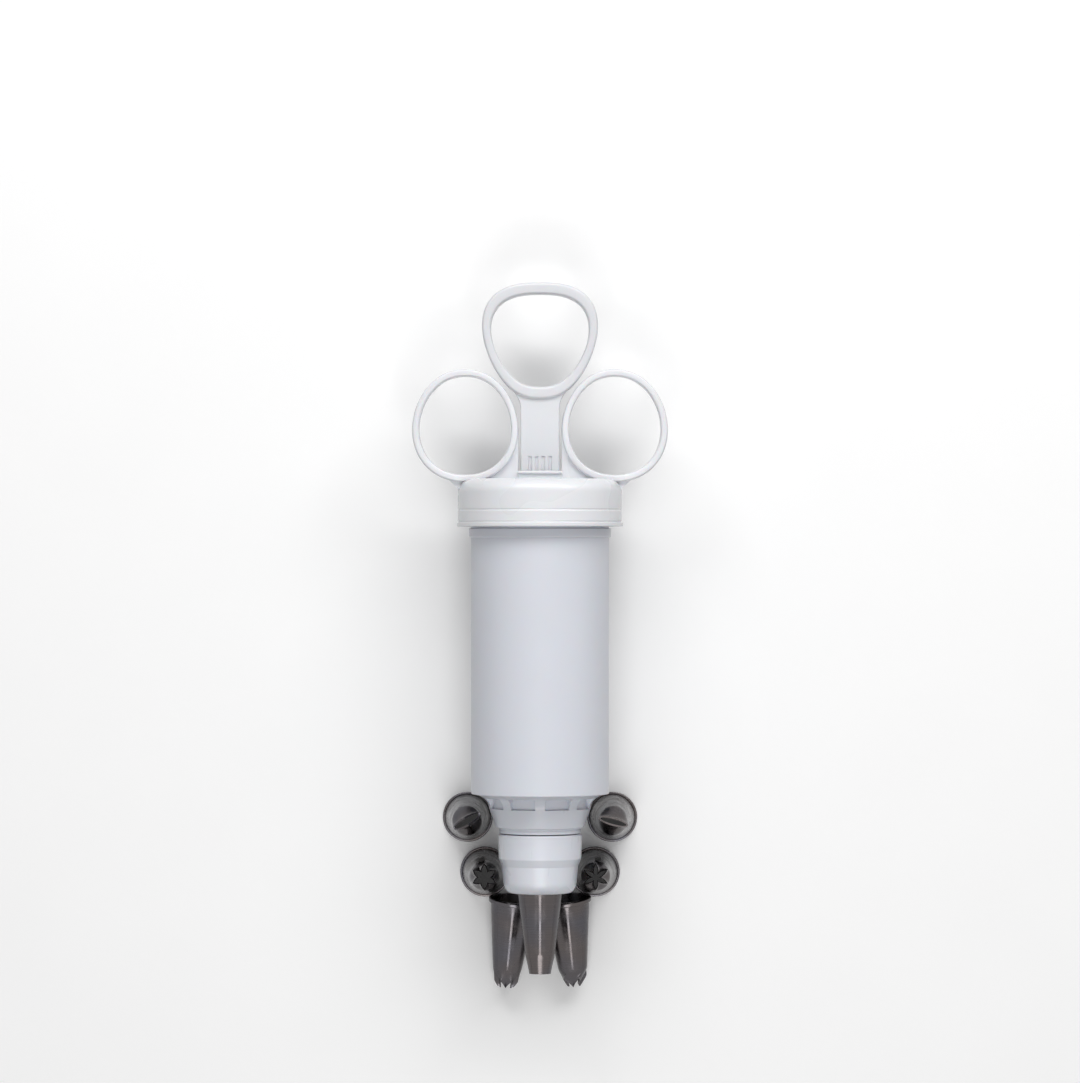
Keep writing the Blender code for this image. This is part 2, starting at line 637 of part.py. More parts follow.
def make_nozzle_collar(material, parent):
    """The screw collar that clamps a nozzle on the neck: a wide band, a step and a long rounded end."""
    mouth = NOZZLE_BODY_RADIUS + FIT_GAP
    centre = (COLLAR_END_RADIUS - COLLAR_EDGE_ROUND, COLLAR_END + COLLAR_EDGE_LENGTH)
    outline = [
        (COLLAR_TOP_RADIUS - COLLAR_TOP_CHAMFER, COLLAR_TOP),
        (COLLAR_TOP_RADIUS, COLLAR_TOP - COLLAR_TOP_CHAMFER),
        (COLLAR_TOP_RADIUS - COLLAR_BAND_TAPER, COLLAR_BAND_END),
        (COLLAR_STEP_RADIUS, COLLAR_BAND_END - COLLAR_STEP_LENGTH),
    ]
    outline += arc(centre, COLLAR_EDGE_ROUND, 0, -90, COLLAR_EDGE_STEPS, COLLAR_EDGE_LENGTH)
    outline += [
        (mouth, COLLAR_END),
        (mouth, COLLAR_FLOOR),
        (COLLAR_BORE, COLLAR_FLOOR),
        (COLLAR_BORE, COLLAR_TOP),
    ]
    return add_object("nozzle_collar", turned_mesh(outline, MEDIUM_FACETS), material, parent)


def plain_tip(tip, angle, share):
    """How far the tip reaches across and along its wide axis, and how far its edge is cut back."""
    across = 1 + tip["widening_share"] * share
    along = 1 - tip["flattening_share"] * share
    return across, along, tip["cut_share"] * abs(math.cos(angle))


def star_tip(tip, angle, share):
    """The same for teeth that bend inwards at full height, with notches cut back between them."""
    turns = tip["teeth"] * (angle - tip["lean"] * share) / math.tau
    tooth = abs(2 * (turns % 1) - 1)
    reach = 1 - tip["bend_share"] * tooth * share
    return reach, reach, tip["notch_share"] * (1 - tooth)


def facet_count(kind):
    if kind in PLAIN_TIPS:
        return PLAIN_TIP_FACETS
    return STAR_TIPS[kind]["teeth"] * STAR_TIPS[kind]["facets_per_tooth"]


def tip_shape(kind, angle, share):
    if kind in PLAIN_TIPS:
        return plain_tip(PLAIN_TIPS[kind], angle, share)
    return star_tip(STAR_TIPS[kind], angle, share)


def nozzle_side(kind, inset, facets):
    """Rings of points of a nozzle's outer side, or of its inner side where inset is the wall."""
    tip_start = NOZZLE_LENGTH - NOZZLE_TIP_LENGTH
    start = NOZZLE_BEAD_HEIGHT + NOZZLE_BEAD_ROUND
    taper = (NOZZLE_BODY_RADIUS - NOZZLE_TIP_RADIUS) / (NOZZLE_LENGTH - start)
    rings = []
    for ring in range(TIP_RINGS + 2):
        share = max(0, ring - 1) / TIP_RINGS
        eased = share * share * (3 - 2 * share)
        points = []
        for facet in range(facets):
            angle = math.tau * facet / facets
            wide, narrow, cut = tip_shape(kind, angle, eased)
            if ring == 0:
                height = start
            else:
                edge = NOZZLE_LENGTH - cut * NOZZLE_TIP_LENGTH
                height = tip_start + (edge - tip_start) * share
            radius = NOZZLE_BODY_RADIUS - taper * (height - start)
            across = radius * wide - inset
            along = radius * narrow - inset
            points.append((across * math.cos(angle), along * math.sin(angle), height))
        rings.append(points)
    return rings


def nozzle_mesh(kind):
    """A thin-walled nozzle that stands on its rolled bead, tip up, centred on the Z axis."""
    facets = facet_count(kind)

    def circle(radius, height):
        angles = [math.tau * step / facets for step in range(facets)]
        return [(radius * math.cos(angle), radius * math.sin(angle), height) for angle in angles]

    outer = nozzle_side(kind, 0, facets)
    inner = nozzle_side(kind, NOZZLE_WALL, facets)
    loops = [
        circle(NOZZLE_BODY_RADIUS - NOZZLE_WALL, 0),
        circle(NOZZLE_BEAD_RADIUS - NOZZLE_BEAD_ROUND, 0),
        circle(NOZZLE_BEAD_RADIUS, NOZZLE_BEAD_ROUND),
        circle(NOZZLE_BEAD_RADIUS, NOZZLE_BEAD_HEIGHT - NOZZLE_BEAD_ROUND),
    ]
    loops += outer + list(reversed(inner))
    shape = bmesh.new()
    rows = [[shape.verts.new(point) for point in loop] for loop in loops]
    for first, second in zip(rows, rows[1:] + rows[:1]):
        for step in range(facets):
            following = (step + 1) % facets
            shape.faces.new((first[step], first[following], second[following], second[step]))
    return shape


def make_fitted_nozzle(material, parent):
    """The round nozzle in the collar, with its bead against the neck."""
    shape = nozzle_mesh("round")
    bmesh.ops.rotate(shape, cent=(0, 0, 0), matrix=Matrix.Rotation(math.pi / 2, 3, "X"), verts=shape.verts)
    bmesh.ops.translate(shape, vec=(0, NOZZLE_SEAT, 0), verts=shape.verts)
    return add_object("fitted_round_nozzle", shape, material, parent)


def add_loose_nozzle(kind):
    return add_object(f"loose_{kind}_nozzle", nozzle_mesh(kind), finish(f"steel_{kind}", *NOZZLE_STEEL))


def stand_nozzle(kind, side, offset, place, turn):
    nozzle = add_loose_nozzle(kind)
    nozzle.location = (side * offset, place, 0)
    nozzle.rotation_euler = (0, 0, turn)
    return nozzle


def lay_nozzle(kind, side):
    """Lays a nozzle on its bead and tip edge, base towards the syringe and tip away from it."""
    nozzle = add_loose_nozzle(kind)
    tilt = math.asin((NOZZLE_BEAD_RADIUS - NOZZLE_TIP_RADIUS) / NOZZLE_LENGTH)
    fall = Matrix.Rotation(math.pi / 2 + tilt, 4, "X")
    yaw = Matrix.Rotation(side * FRONT_PAIR_YAW, 4, "Z")
    pose = yaw @ fall
    lowest = min((pose @ corner.co).z for corner in nozzle.data.vertices)
    place = Vector((side * FRONT_PAIR_OFFSET, FRONT_PAIR_PLACE, -lowest))
    nozzle.matrix_world = Matrix.Translation(place) @ pose
    return nozzle


def main():
    clear_scene()
    axis = bpy.data.objects.new("syringe_axis", None)
    axis.location = (0, 0, CAP_RADIUS)
    bpy.context.scene.collection.objects.link(axis)

    make_barrel(finish("barrel_white", (0.78, 0.80, 0.85), 0.35), axis)
    make_ring_cap(finish("cap_white", (0.86, 0.87, 0.89), 0.32), axis)
    make_plunger_rod(finish("rod_white", (0.84, 0.85, 0.88), 0.34), axis)
    make_piston(finish("piston_white", (0.80, 0.82, 0.85), 0.40), axis)
    make_piston_seal(finish("seal_grey", (0.30, 0.31, 0.33), 0.60), axis)
    make_nozzle_collar(finish("collar_white", (0.84, 0.86, 0.90), 0.35), axis)
    make_fitted_nozzle(finish("steel_fitted", *NOZZLE_STEEL), axis)

    stand_nozzle("leaf", -1, SHOULDER_PAIR_OFFSET, SHOULDER_PAIR_PLACE, LEAF_TURN)
    stand_nozzle("ribbon", 1, SHOULDER_PAIR_OFFSET, SHOULDER_PAIR_PLACE, RIBBON_TURN)
    stand_nozzle("open_star", -1, COLLAR_PAIR_OFFSET, COLLAR_PAIR_PLACE, 0)
    stand_nozzle("closed_star", 1, COLLAR_PAIR_OFFSET, COLLAR_PAIR_PLACE, 0)
    lay_nozzle("fine_star", -1)
    lay_nozzle("twist_star", 1)


main()
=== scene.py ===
"""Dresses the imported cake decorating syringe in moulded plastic, soft rubber and pressed steel."""

import math

import bpy
from bpy.props import FloatProperty, FloatVectorProperty, IntProperty, PointerProperty
from bpy.types import Operator, Panel, PropertyGroup
from mathutils import Matrix, Vector


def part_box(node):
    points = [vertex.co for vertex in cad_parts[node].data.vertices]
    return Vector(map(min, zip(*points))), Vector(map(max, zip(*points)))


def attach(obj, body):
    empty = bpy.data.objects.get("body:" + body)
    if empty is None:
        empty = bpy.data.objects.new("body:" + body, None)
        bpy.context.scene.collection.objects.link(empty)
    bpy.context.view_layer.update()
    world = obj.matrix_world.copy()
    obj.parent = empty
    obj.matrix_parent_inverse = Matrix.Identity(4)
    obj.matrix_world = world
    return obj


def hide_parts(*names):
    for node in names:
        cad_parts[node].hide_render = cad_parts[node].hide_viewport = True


bl_info = {
    "name": "Cake decorating syringe",
    "version": (1, 0, 0),
    "blender": (4, 5, 0),
    "location": "3D View > Sidebar > Syringe",
    "description": "Models and finishes the pieces of an icing syringe round its fixed frame",
    "category": "Add Mesh",
}

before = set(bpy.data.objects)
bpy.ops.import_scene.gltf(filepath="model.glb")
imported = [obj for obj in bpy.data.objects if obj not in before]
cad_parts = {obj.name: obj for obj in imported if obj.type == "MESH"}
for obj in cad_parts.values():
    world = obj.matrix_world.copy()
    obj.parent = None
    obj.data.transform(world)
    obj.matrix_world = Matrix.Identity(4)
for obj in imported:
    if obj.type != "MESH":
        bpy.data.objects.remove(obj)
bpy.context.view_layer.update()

# shared by all pieces
WELD_DISTANCE = 0.000004
CUT_OVERRUN = 0.002
ARC_STEPS = 5
CORNER_REACH_SHARE = 0.49
SMOOTH_ANGLE = math.radians(38)
BEVEL_ANGLE = math.radians(45)
BEVEL_SEGMENTS = 3

# radii of rounded corners, from the crispest to the softest
TINY_ROUND = 0.0001
CRISP_ROUND = 0.0002
SMALL_ROUND = 0.0003
MIDDLE_ROUND = 0.0004
FULL_ROUND = 0.0005
SOFT_ROUND = 0.0006
WIDE_ROUND = 0.0008

# threads of the neck and the collar
THREAD_LEAD = 0.0016
THREAD_ROOT_EMBED = 0.0003
THREAD_TURN_STEPS = 64
THREAD_FADES_PER_TURN = 5
THREAD_SECTION_SHARES = ((0, -0.5), (1, -0.22), (1, 0.22), (0, 0.5), (0, -0.5))
COLLAR_THREAD_INSET = 0.0006

# places and radii that the frame gives
BARREL_LOW, BARREL_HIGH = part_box("barrel")
CAP_LOW, CAP_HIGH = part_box("ring_cap")
ROD_LOW, ROD_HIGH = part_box("plunger_rod")
PISTON_LOW, PISTON_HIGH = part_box("piston")
SEAL_LOW, SEAL_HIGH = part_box("piston_seal")
COLLAR_LOW, COLLAR_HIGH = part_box("nozzle_collar")
AXIS_HEIGHT = (CAP_LOW.z + CAP_HIGH.z) / 2
MOUTH_LAND_RADIUS = (BARREL_HIGH.z - BARREL_LOW.z) / 2
MOUTH = BARREL_HIGH.y
NECK_END = BARREL_LOW.y
CAP_RADIUS = (CAP_HIGH.z - CAP_LOW.z) / 2
CAP_SKIRT_END = CAP_LOW.y
COLLAR_TOP_RADIUS = (COLLAR_HIGH.z - COLLAR_LOW.z) / 2
COLLAR_TOP = COLLAR_HIGH.y
COLLAR_END = COLLAR_LOW.y
PISTON_RADIUS = (PISTON_HIGH.z - PISTON_LOW.z) / 2
SEAL_RADIUS = (SEAL_HIGH.z - SEAL_LOW.z) / 2
FOOT_RADIUS = (ROD_HIGH.z - ROD_LOW.z) / 2

# barrel
BARREL_RADIUS = 0.0207
BORE_RADIUS = 0.0191
MOUTH_LAND_END = 0.0341
MOUTH_LAND_SLOPE = 0.0004
STOP_RING_RADIUS = 0.0213
STOP_RING_TOP = 0.0330
STOP_RING_END = 0.0304
SHOULDER_PLACE = -0.0466
SHOULDER_END = -0.0508
SHOULDER_END_RADIUS = 0.0153
NECK_BASE_RADIUS = 0.0132
NECK_BASE_END = -0.0565
NECK_BASE_SLOPE = 0.0004
NECK_GROOVE_RADIUS = 0.0122
NECK_START = -0.0583
NECK_RADIUS = 0.0096
NECK_BORE = 0.0070
NECK_BORE_RISE = 0.0004
CHAMBER_END_RADIUS = 0.0129
CHAMBER_FLOOR_RADIUS = 0.0116
CHAMBER_FLOOR = -0.0517
CHAMBER_CONE_END = -0.0475
CHAMBER_CONE_START = -0.0450
POCKET_COUNT = 9
POCKET_FLOOR_RADIUS = 0.0144
POCKET_TOP = -0.0477
POCKET_END = -0.0509
POCKET_RIB_WIDTH = 0.0028
POCKET_STEPS = 10
SHOULDER_STEPS = 12

# the finger and thumb bands, whose section is squarer the smaller its powers are
BAND_STEPS = 144
BAND_SECTION_STEPS = 28
BAND_OUT_POWER = 0.48
BAND_UP_POWER = 0.34

# ring cap
CAP_BODY_RADIUS = 0.0246
CAP_BORE = 0.0222
CAP_UNDERSIDE = 0.0453
CAP_TOP = 0.0479
CAP_EDGE_ROUND = 0.0040
CAP_ARC_STEPS = 6
CAP_RIM_HEIGHT = 0.0013
CAP_LINE_DEPTH = 0.00015
CAP_LINE_PLACES = (0.0386, 0.0350)
CAP_LINE_HALF_WIDTH = 0.0004
FINGER_RING_OFFSET = 0.0224
FINGER_RING_PLACE = 0.0638
FINGER_HOLE_HALF_WIDTH = 0.0137
FINGER_HOLE_HALF_HEIGHT = 0.0147
FINGER_RING_WALL = 0.0022
FINGER_RING_DEPTH = 0.0090
FINGER_NARROWING_SHARE = -0.07
FINGER_SQUARE_SHARE = 0.92
WEB_DEPTH = 0.0060
WEB_EMBED = 0.0015
WEB_FOOT_INSET = 0.0012
WEB_BORE_GAP = 0.0006
WEB_SIDE_ANGLE = math.radians(205)
WEB_EDGE_ROUND = 0.0006
WEB_REACH_SHARE = 0.9
WEB_HOLE_STEPS = 96
GUIDE_HEIGHT = 0.0024
GUIDE_WALL = 0.0006
GUIDE_LIP_HEIGHT = 0.0009
GUIDE_LIP_REACH = 0.0004
GUIDE_NECK_INSET = 0.0003

# plunger
STEM_WIDTH = 0.0116
STEM_DEPTH = 0.0060
STEM_GAP = 0.0003
STEM_SIDE_GAP = 0.0007
STEM_EDGE_ROUND = 0.0005
THUMB_RING_PLACE = 0.0893
THUMB_HOLE_HALF_WIDTH = 0.0142
THUMB_HOLE_HALF_HEIGHT = 0.0138
THUMB_RING_SIDE_WALL = 0.0027
THUMB_RING_TOP_WALL = 0.0037
THUMB_RING_DEPTH = 0.0084
THUMB_NARROWING_SHARE = 0.22
THUMB_SQUARE_SHARE = 0.76
FLARE_ANGLE = math.radians(-52)
FLARE_BRIDGE_SHARE = 1.2
FLARE_LENGTH = 0.0067
FLARE_STEPS = 10
RIB_COUNT = 4
RIB_PITCH = 0.0020
RIB_GROOVE_WIDTH = 0.0009
RIB_GROOVE_DEPTH = 0.0004
RIB_START = 0.0560
RIB_ARC_STEPS = 3
FOOT_FACE = -0.0447
FOOT_HEIGHT = 0.0022
FOOT_STEPS = 96

# piston and seal
PISTON_NOSE_RADIUS = 0.0124
PISTON_EDGE = -0.0444
PISTON_RIM_WALL = 0.0034
PISTON_WEB = 0.0018
SOCKET_FLOOR = -0.0450
HUB_WALL = 0.0013
SOCKET_GAP = 0.0003
SEAL_SECTION = 0.0024
SEAL_ROUND = 0.0008

# collar
COLLAR_BAND_TAPER = 0.0002
COLLAR_BAND_END = -0.0659
COLLAR_STEP_RADIUS = 0.0115
COLLAR_STEP_END = -0.0682
COLLAR_END_RADIUS = 0.0111
COLLAR_BORE = 0.0099
COLLAR_FLOOR = -0.0747
COLLAR_MOUTH = 0.0072
COLLAR_EDGE_ROUND = 0.0026
COLLAR_EDGE_LENGTH = 0.0040
COLLAR_EDGE_STEPS = 16
COLLAR_ARC_STEPS = 10

# nozzles
NOZZLE_LENGTH = 0.0275
BEAD_RADIUS = 0.0076
BEAD_HEIGHT = 0.0014
BEAD_ROUND = 0.0005
BEAD_STEP = 0.0001
BODY_RADIUS = 0.0069
BODY_START = 0.0018
TIP_RADIUS = 0.0037
TIP_LENGTH = 0.0062
TIP_RINGS = 14
BODY_RINGS = 10
NOZZLE_STEPS = 120
LEAF_TURN = math.radians(30)
RIBBON_TURN = math.radians(-15)
LYING_YAW = math.radians(5.5)
PLAIN_TIPS = {
    "round": {"widening_share": -0.12, "flattening_share": 0.12, "cut_share": 0.0},
    "leaf": {"widening_share": 0.10, "flattening_share": 0.62, "cut_share": 0.62},
    "ribbon": {"widening_share": 0.22, "flattening_share": 0.66, "cut_share": 0.0},
}
STAR_TIPS = {
    "open_star": {"teeth": 6, "bend_share": 0.40, "notch_share": 0.45, "lean": 0.0},
    "closed_star": {"teeth": 6, "bend_share": 0.66, "notch_share": 0.60, "lean": 0.0},
    "fine_star": {"teeth": 8, "bend_share": 0.34, "notch_share": 0.36, "lean": 0.0},
    "twist_star": {"teeth": 5, "bend_share": 0.48, "notch_share": 0.50, "lean": 0.5},
}

# moulded plastic: the patterns' scales are in features to a metre, the shares are of the colour
BARREL_ROUGHNESS = 0.34
CAP_ROUGHNESS = 0.27
PLUNGER_ROUGHNESS = 0.34
PISTON_ROUGHNESS = 0.40
COLLAR_ROUGHNESS = 0.28
CLOUD_SCALE = 55.0
CLOUD_RANGE = (0.15, 0.85)
CLOUD_DARK_SHARE = 0.985
CLOUD_PALE_SHARE = 1.01
CLOUD_SHEEN_GAIN = 0.03
CLOUD_SHEEN_LOSS = 0.04
GRAIN_SCALE = 3200.0
HAIR_STRETCH = (900.0, 60.0, 900.0)
SCRATCH_RANGE = (0.73, 0.80)
SCRATCH_SHEEN = 0.08
SCRATCH_HEIGHT = 0.3
# painted shade: the plastic's colour is darkened where ambient occlusion finds nearby surfaces, in creases
# and between parts
CREVICE_SHADE_REACH = 0.004
CREVICE_SHADE_RANGE = (0.2, 0.9)
CREVICE_SHADE_SHARE = 0.90
PLASTIC_IOR = 1.49
GLOW_WEIGHT = 0.12
GLOW_DEPTH = 0.002

# soft rubber
BLOOM_SCALE = 420.0
BLOOM_RANGE = (0.45, 0.75)
BLOOM_SHARE = 1.8
RUBBER_SHEEN_RANGE = (0.3, 0.7)
RUBBER_ROUGHNESS = (0.55, 0.78)
RUBBER_GRAIN_SCALE = 5200.0
RUBBER_GRAIN_DEPTH = 0.00002

# pressed steel
DRAWN_SCALE = 5200.0
DRAWN_RANGE = (0.35, 0.7)
DRAWN_SHARE = 0.72
DRAWN_SHEEN = 0.06
DRAWN_DEPTH = 0.000006
SMUDGE_SCALE = 260.0
SMUDGE_RANGE = (0.35, 0.7)
STEEL_ROUGHNESS = (0.14, 0.34)
CAST_SCALE = 90.0
CAST_RANGE = (0.35, 0.65)
WARM_SHARES = (1.10, 1.02, 0.94)
COOL_SHARES = (0.90, 0.96, 1.06)

# stage
PLAIN_WHITE = (1.0, 1.0, 1.0)
FLOOR_SIZE = 4
FLOOR_ROUGHNESS = 0.9
MOTTLE_SCALE = 30.0
MOTTLE_RANGE = (0.3, 0.7)
MOTTLE_DARK_SHARE = 0.995
MOTTLE_PALE_SHARE = 1.005
KEY_LAMP_PLACE = (0.10, 0.78, 0.62)
KEY_LAMP_SIZE = (1.4, 0.40)
FILL_LAMP_PLACE = (0.0, -0.46, 0.90)
FILL_LAMP_SIZE = (0.53, 0.53)


class SyringeSizes(PropertyGroup):
    """Sizes that a maker would change without changing the frame."""

    turn_steps: IntProperty(name="Turning steps", description="Faces round a turned piece", default=128)
    thread_pitch: FloatProperty(
        name="Thread pitch", description="Rise of the neck thread in one turn", default=0.003, unit="LENGTH"
    )
    thread_height: FloatProperty(
        name="Thread height", description="How far the thread stands out", default=0.0007, unit="LENGTH"
    )
    thread_width: FloatProperty(
        name="Thread width", description="Width of the thread at its root", default=0.0013, unit="LENGTH"
    )
    nozzle_wall: FloatProperty(
        name="Nozzle wall", description="Thickness of the nozzles' sheet", default=0.0005, unit="LENGTH"
    )
    seam_width: FloatProperty(
        name="Seam width", description="Width of the nozzles' lapped seam", default=0.0011, unit="LENGTH"
    )
    seam_height: FloatProperty(
        name="Seam height", description="How far the seam stands out", default=0.00012, unit="LENGTH"
    )


class SyringeFinishes(PropertyGroup):
    """Colours and textures of the syringe's materials."""

    barrel_colour: FloatVectorProperty(
        name="Barrel", description="Bluish white of the barrel", subtype="COLOR", default=(0.70, 0.72, 0.78)
    )
    cap_colour: FloatVectorProperty(
        name="Ring cap", description="White of the cap", subtype="COLOR", default=(0.81, 0.82, 0.85)
    )
    plunger_colour: FloatVectorProperty(
        name="Plunger", description="White of the plunger", subtype="COLOR", default=(0.73, 0.74, 0.77)
    )
    collar_colour: FloatVectorProperty(
        name="Collar", description="White of the collar", subtype="COLOR", default=(0.74, 0.76, 0.82)
    )
    seal_colour: FloatVectorProperty(
        name="Seal", description="Grey of the seal ring", subtype="COLOR", default=(0.10, 0.105, 0.11)
    )
    # painted reflection: the steel gets a far darker colour than steel has, standing in for dark
    # surroundings that it would reflect
    steel_dark_reflection_colour: FloatVectorProperty(
        name="Steel", description="Grey of the nozzles", subtype="COLOR", default=(0.105, 0.098, 0.102)
    )
    grain_depth: FloatProperty(
        name="Grain depth", description="Depth of the mould's fine texture", default=0.00001, unit="LENGTH"
    )


class StageSettings(PropertyGroup):
    """Camera, lamps and floor."""

    camera_distance: FloatProperty(
        name="Camera distance", description="From the syringe's axis", default=1.5, unit="LENGTH"
    )
    camera_aim: FloatProperty(
        name="Camera aim", description="Place along the syringe below it", default=0.0291, unit="LENGTH"
    )
    lens: FloatProperty(name="Lens", description="Focal length", default=166.2, unit="CAMERA")
    key_power: FloatProperty(
        name="Key lamp", description="Power of the lamp beyond the rings", default=9.8, unit="POWER"
    )
    fill_power: FloatProperty(
        name="Fill lamp", description="Power of the lamp on the nozzles' side", default=3.6, unit="POWER"
    )
    sky_strength: FloatProperty(name="Sky", description="Light from all round", default=0.18)
    floor_colour: FloatVectorProperty(
        name="Floor", description="Pale colour of the floor", subtype="COLOR", default=(0.98, 0.98, 0.98)
    )
    floor_bounce: FloatProperty(name="Floor bounce", description="Share that it throws back", default=0.42)
    floor_lift: FloatProperty(name="Floor lift", description="Brightens the floor as seen", default=0.03)


def sizes():
    return bpy.context.scene.syringe_sizes


def finishes():
    return bpy.context.scene.syringe_finishes


def settings():
    return bpy.context.scene.syringe_stage


class Wire:
    """A value in a material. Sums and products on it add Math nodes."""

    def __init__(self, finish, socket):
        self.finish = finish
        self.socket = socket

    def maths(self, operation, first, second):
        return self.finish.add("ShaderNodeMath", {"operation": operation}, {0: first, 1: second})

    def __add__(self, other):
        return self.maths("ADD", self, other)

    def __radd__(self, other):
        return self.maths("ADD", other, self)

    def __sub__(self, other):
        return self.maths("SUBTRACT", self, other)

    def __rsub__(self, other):
        return self.maths("SUBTRACT", other, self)

    def __mul__(self, other):
        return self.maths("MULTIPLY", self, other)

    def __rmul__(self, other):
        return self.maths("MULTIPLY", other, self)


class Finish:
    """A material or a sky under construction, with its shader at hand."""

    def __init__(self, owner, shader="Principled BSDF"):
        owner.use_nodes = True
        self.owner = owner
        self.tree = owner.node_tree
        self.shader = self.tree.nodes[shader]

    def add(self, kind, choices=None, values=None, output=0):
        """Adds a node, sets its choices, then feeds its sockets with values or wires."""
        node = self.tree.nodes.new(kind)
        for name, choice in (choices or {}).items():
            setattr(node, name, choice)
        for socket, value in (values or {}).items():
            self.feed(node.inputs[socket], value)
        return Wire(self, node.outputs[output])

    def feed(self, socket, value):
        if isinstance(value, Wire):
            self.tree.links.new(value.socket, socket)
        else:
            socket.default_value = value

    def set(self, **values):
        for name, value in values.items():
            self.feed(self.shader.inputs[name.replace("_", " ").title()], value)

    def place(self):
        return self.add("ShaderNodeTexCoord", output="Object")

    def stretched(self, scale):
        return self.add("ShaderNodeVectorMath", {"operation": "MULTIPLY"}, {0: self.place(), 1: scale})

    def noise(self, vector, scale, detail):
        return self.add("ShaderNodeTexNoise", values={"Vector": vector, "Scale": scale, "Detail": detail})

    def between(self, wire, low, high, to_low=0.0, to_high=1.0):
        """Maps the wire's low to high onto to_low to to_high, held at both ends."""
        values = {"Value": wire, "From Min": low, "From Max": high, "To Min": to_low, "To Max": to_high}
        return self.add("ShaderNodeMapRange", values=values)

    def blend(self, share, first, second):
        return self.add("ShaderNodeMix", {"data_type": "RGBA"}, {0: share, 6: first, 7: second}, output=2)

    def bump(self, height, depth):
        return self.add("ShaderNodeBump", values={"Height": height, "Distance": depth, "Strength": 1.0})

    def shown(self):
        """Over nought for rays that show the background: seen straight, mirrored or through glass."""
        kinds = ("Camera", "Glossy", "Transmission")
        rays = [self.add("ShaderNodeLightPath", output=f"Is {kind} Ray") for kind in kinds]
        return sum(rays[1:], rays[0])


def shaded(colour, share):
    """The colour times the share, with full alpha."""
    return (*(channel * share for channel in colour), 1.0)


def tinted(colour, shares):
    """The same with a share for each channel."""
    return (*(channel * share for channel, share in zip(colour, shares)), 1.0)


def moulded_plastic(name, colour, roughness):
    """White polypropylene: faint clouding, fine mould grain, rubbed patches, hairline scratches and painted
    shade in creases.
    """
    finish = Finish(bpy.data.materials.new(name))
    place = finish.place()
    cloud = finish.noise(place, CLOUD_SCALE, 1.0)
    grain = finish.noise(place, GRAIN_SCALE, 2.0)
    hairs = finish.noise(finish.stretched(HAIR_STRETCH), 1.0, 1.0)
    scratch = finish.between(hairs, *SCRATCH_RANGE)
    # painted shade: ambient occlusion darkens the colour in creases and between parts
    crevice_shade = finish.add("ShaderNodeAmbientOcclusion", values={"Distance": CREVICE_SHADE_REACH}, output="AO")
    dark = shaded(colour, CLOUD_DARK_SHARE)
    clouded = finish.blend(finish.between(cloud, *CLOUD_RANGE), dark, shaded(colour, CLOUD_PALE_SHARE))
    unshaded_share = finish.between(crevice_shade, *CREVICE_SHADE_RANGE)
    sheens = (roughness - CLOUD_SHEEN_GAIN, roughness + CLOUD_SHEEN_LOSS)
    finish.set(
        base_color=finish.blend(unshaded_share, shaded(colour, CREVICE_SHADE_SHARE), clouded),
        roughness=finish.between(cloud, *CLOUD_RANGE, *sheens) - scratch * SCRATCH_SHEEN,
        normal=finish.bump(grain + scratch * SCRATCH_HEIGHT, finishes().grain_depth),
        subsurface_weight=GLOW_WEIGHT,
        subsurface_scale=GLOW_DEPTH,
    )
    finish.shader.inputs["IOR"].default_value = PLASTIC_IOR
    return finish.owner


def soft_rubber(name, colour):
    """Matt rubber with a fine grain and a dusting of paler bloom."""
    finish = Finish(bpy.data.materials.new(name))
    place = finish.place()
    bloom = finish.noise(place, BLOOM_SCALE, 4.0)
    grain = finish.noise(place, RUBBER_GRAIN_SCALE, 2.0)
    dusted = finish.between(bloom, *BLOOM_RANGE)
    finish.set(
        base_color=finish.blend(dusted, shaded(colour, 1.0), shaded(colour, BLOOM_SHARE)),
        roughness=finish.between(bloom, *RUBBER_SHEEN_RANGE, *RUBBER_ROUGHNESS),
        normal=finish.bump(grain, RUBBER_GRAIN_DEPTH),
    )
    return finish.owner


def pressed_steel(name, colour):
    """Drawn stainless steel: fine rings from the tool, smudges, and a cast from warm to cool."""
    finish = Finish(bpy.data.materials.new(name))
    place = finish.place()
    height = finish.add("ShaderNodeAttribute", {"attribute_name": "height"}, output="Fac")
    drawn = {"W": height, "Scale": DRAWN_SCALE, "Detail": 3.0}
    rings = finish.add("ShaderNodeTexNoise", {"noise_dimensions": "1D"}, drawn)
    smudge = finish.noise(place, SMUDGE_SCALE, 3.0)
    cast = finish.noise(place, CAST_SCALE, 1.0)
    warm = tinted(colour, WARM_SHARES)
    toned = finish.blend(finish.between(cast, *CAST_RANGE), warm, tinted(colour, COOL_SHARES))
    finish.set(
        base_color=finish.blend(finish.between(rings, *DRAWN_RANGE), toned, shaded(colour, DRAWN_SHARE)),
        metallic=1.0,
        roughness=finish.between(smudge, *SMUDGE_RANGE, *STEEL_ROUGHNESS) + rings * DRAWN_SHEEN,
        normal=finish.bump(rings, DRAWN_DEPTH),
    )
    return finish.owner


def work_on(piece):
    """Leaves only this piece selected and active, in object mode."""
    if bpy.context.object and bpy.context.object.mode != "OBJECT":
        bpy.ops.object.mode_set(mode="OBJECT")
    bpy.ops.object.select_all(action="DESELECT")
    if piece:
        piece.select_set(True)
        bpy.context.view_layer.objects.active = piece


def name_piece(piece, name):
    piece.name = name
    piece.data.name = name
    return piece


def tidy_shell(piece):
    """Welds doubles, clears loose edges and points every face outwards."""
    work_on(piece)
    bpy.ops.object.mode_set(mode="EDIT")
    bpy.ops.mesh.select_all(action="SELECT")
    bpy.ops.mesh.remove_doubles(threshold=WELD_DISTANCE)
    bpy.ops.mesh.delete_loose(use_verts=True, use_edges=True, use_faces=False)
    bpy.ops.mesh.select_all(action="SELECT")
    bpy.ops.mesh.normals_make_consistent(inside=False)
    bpy.ops.object.mode_set(mode="OBJECT")
    return piece


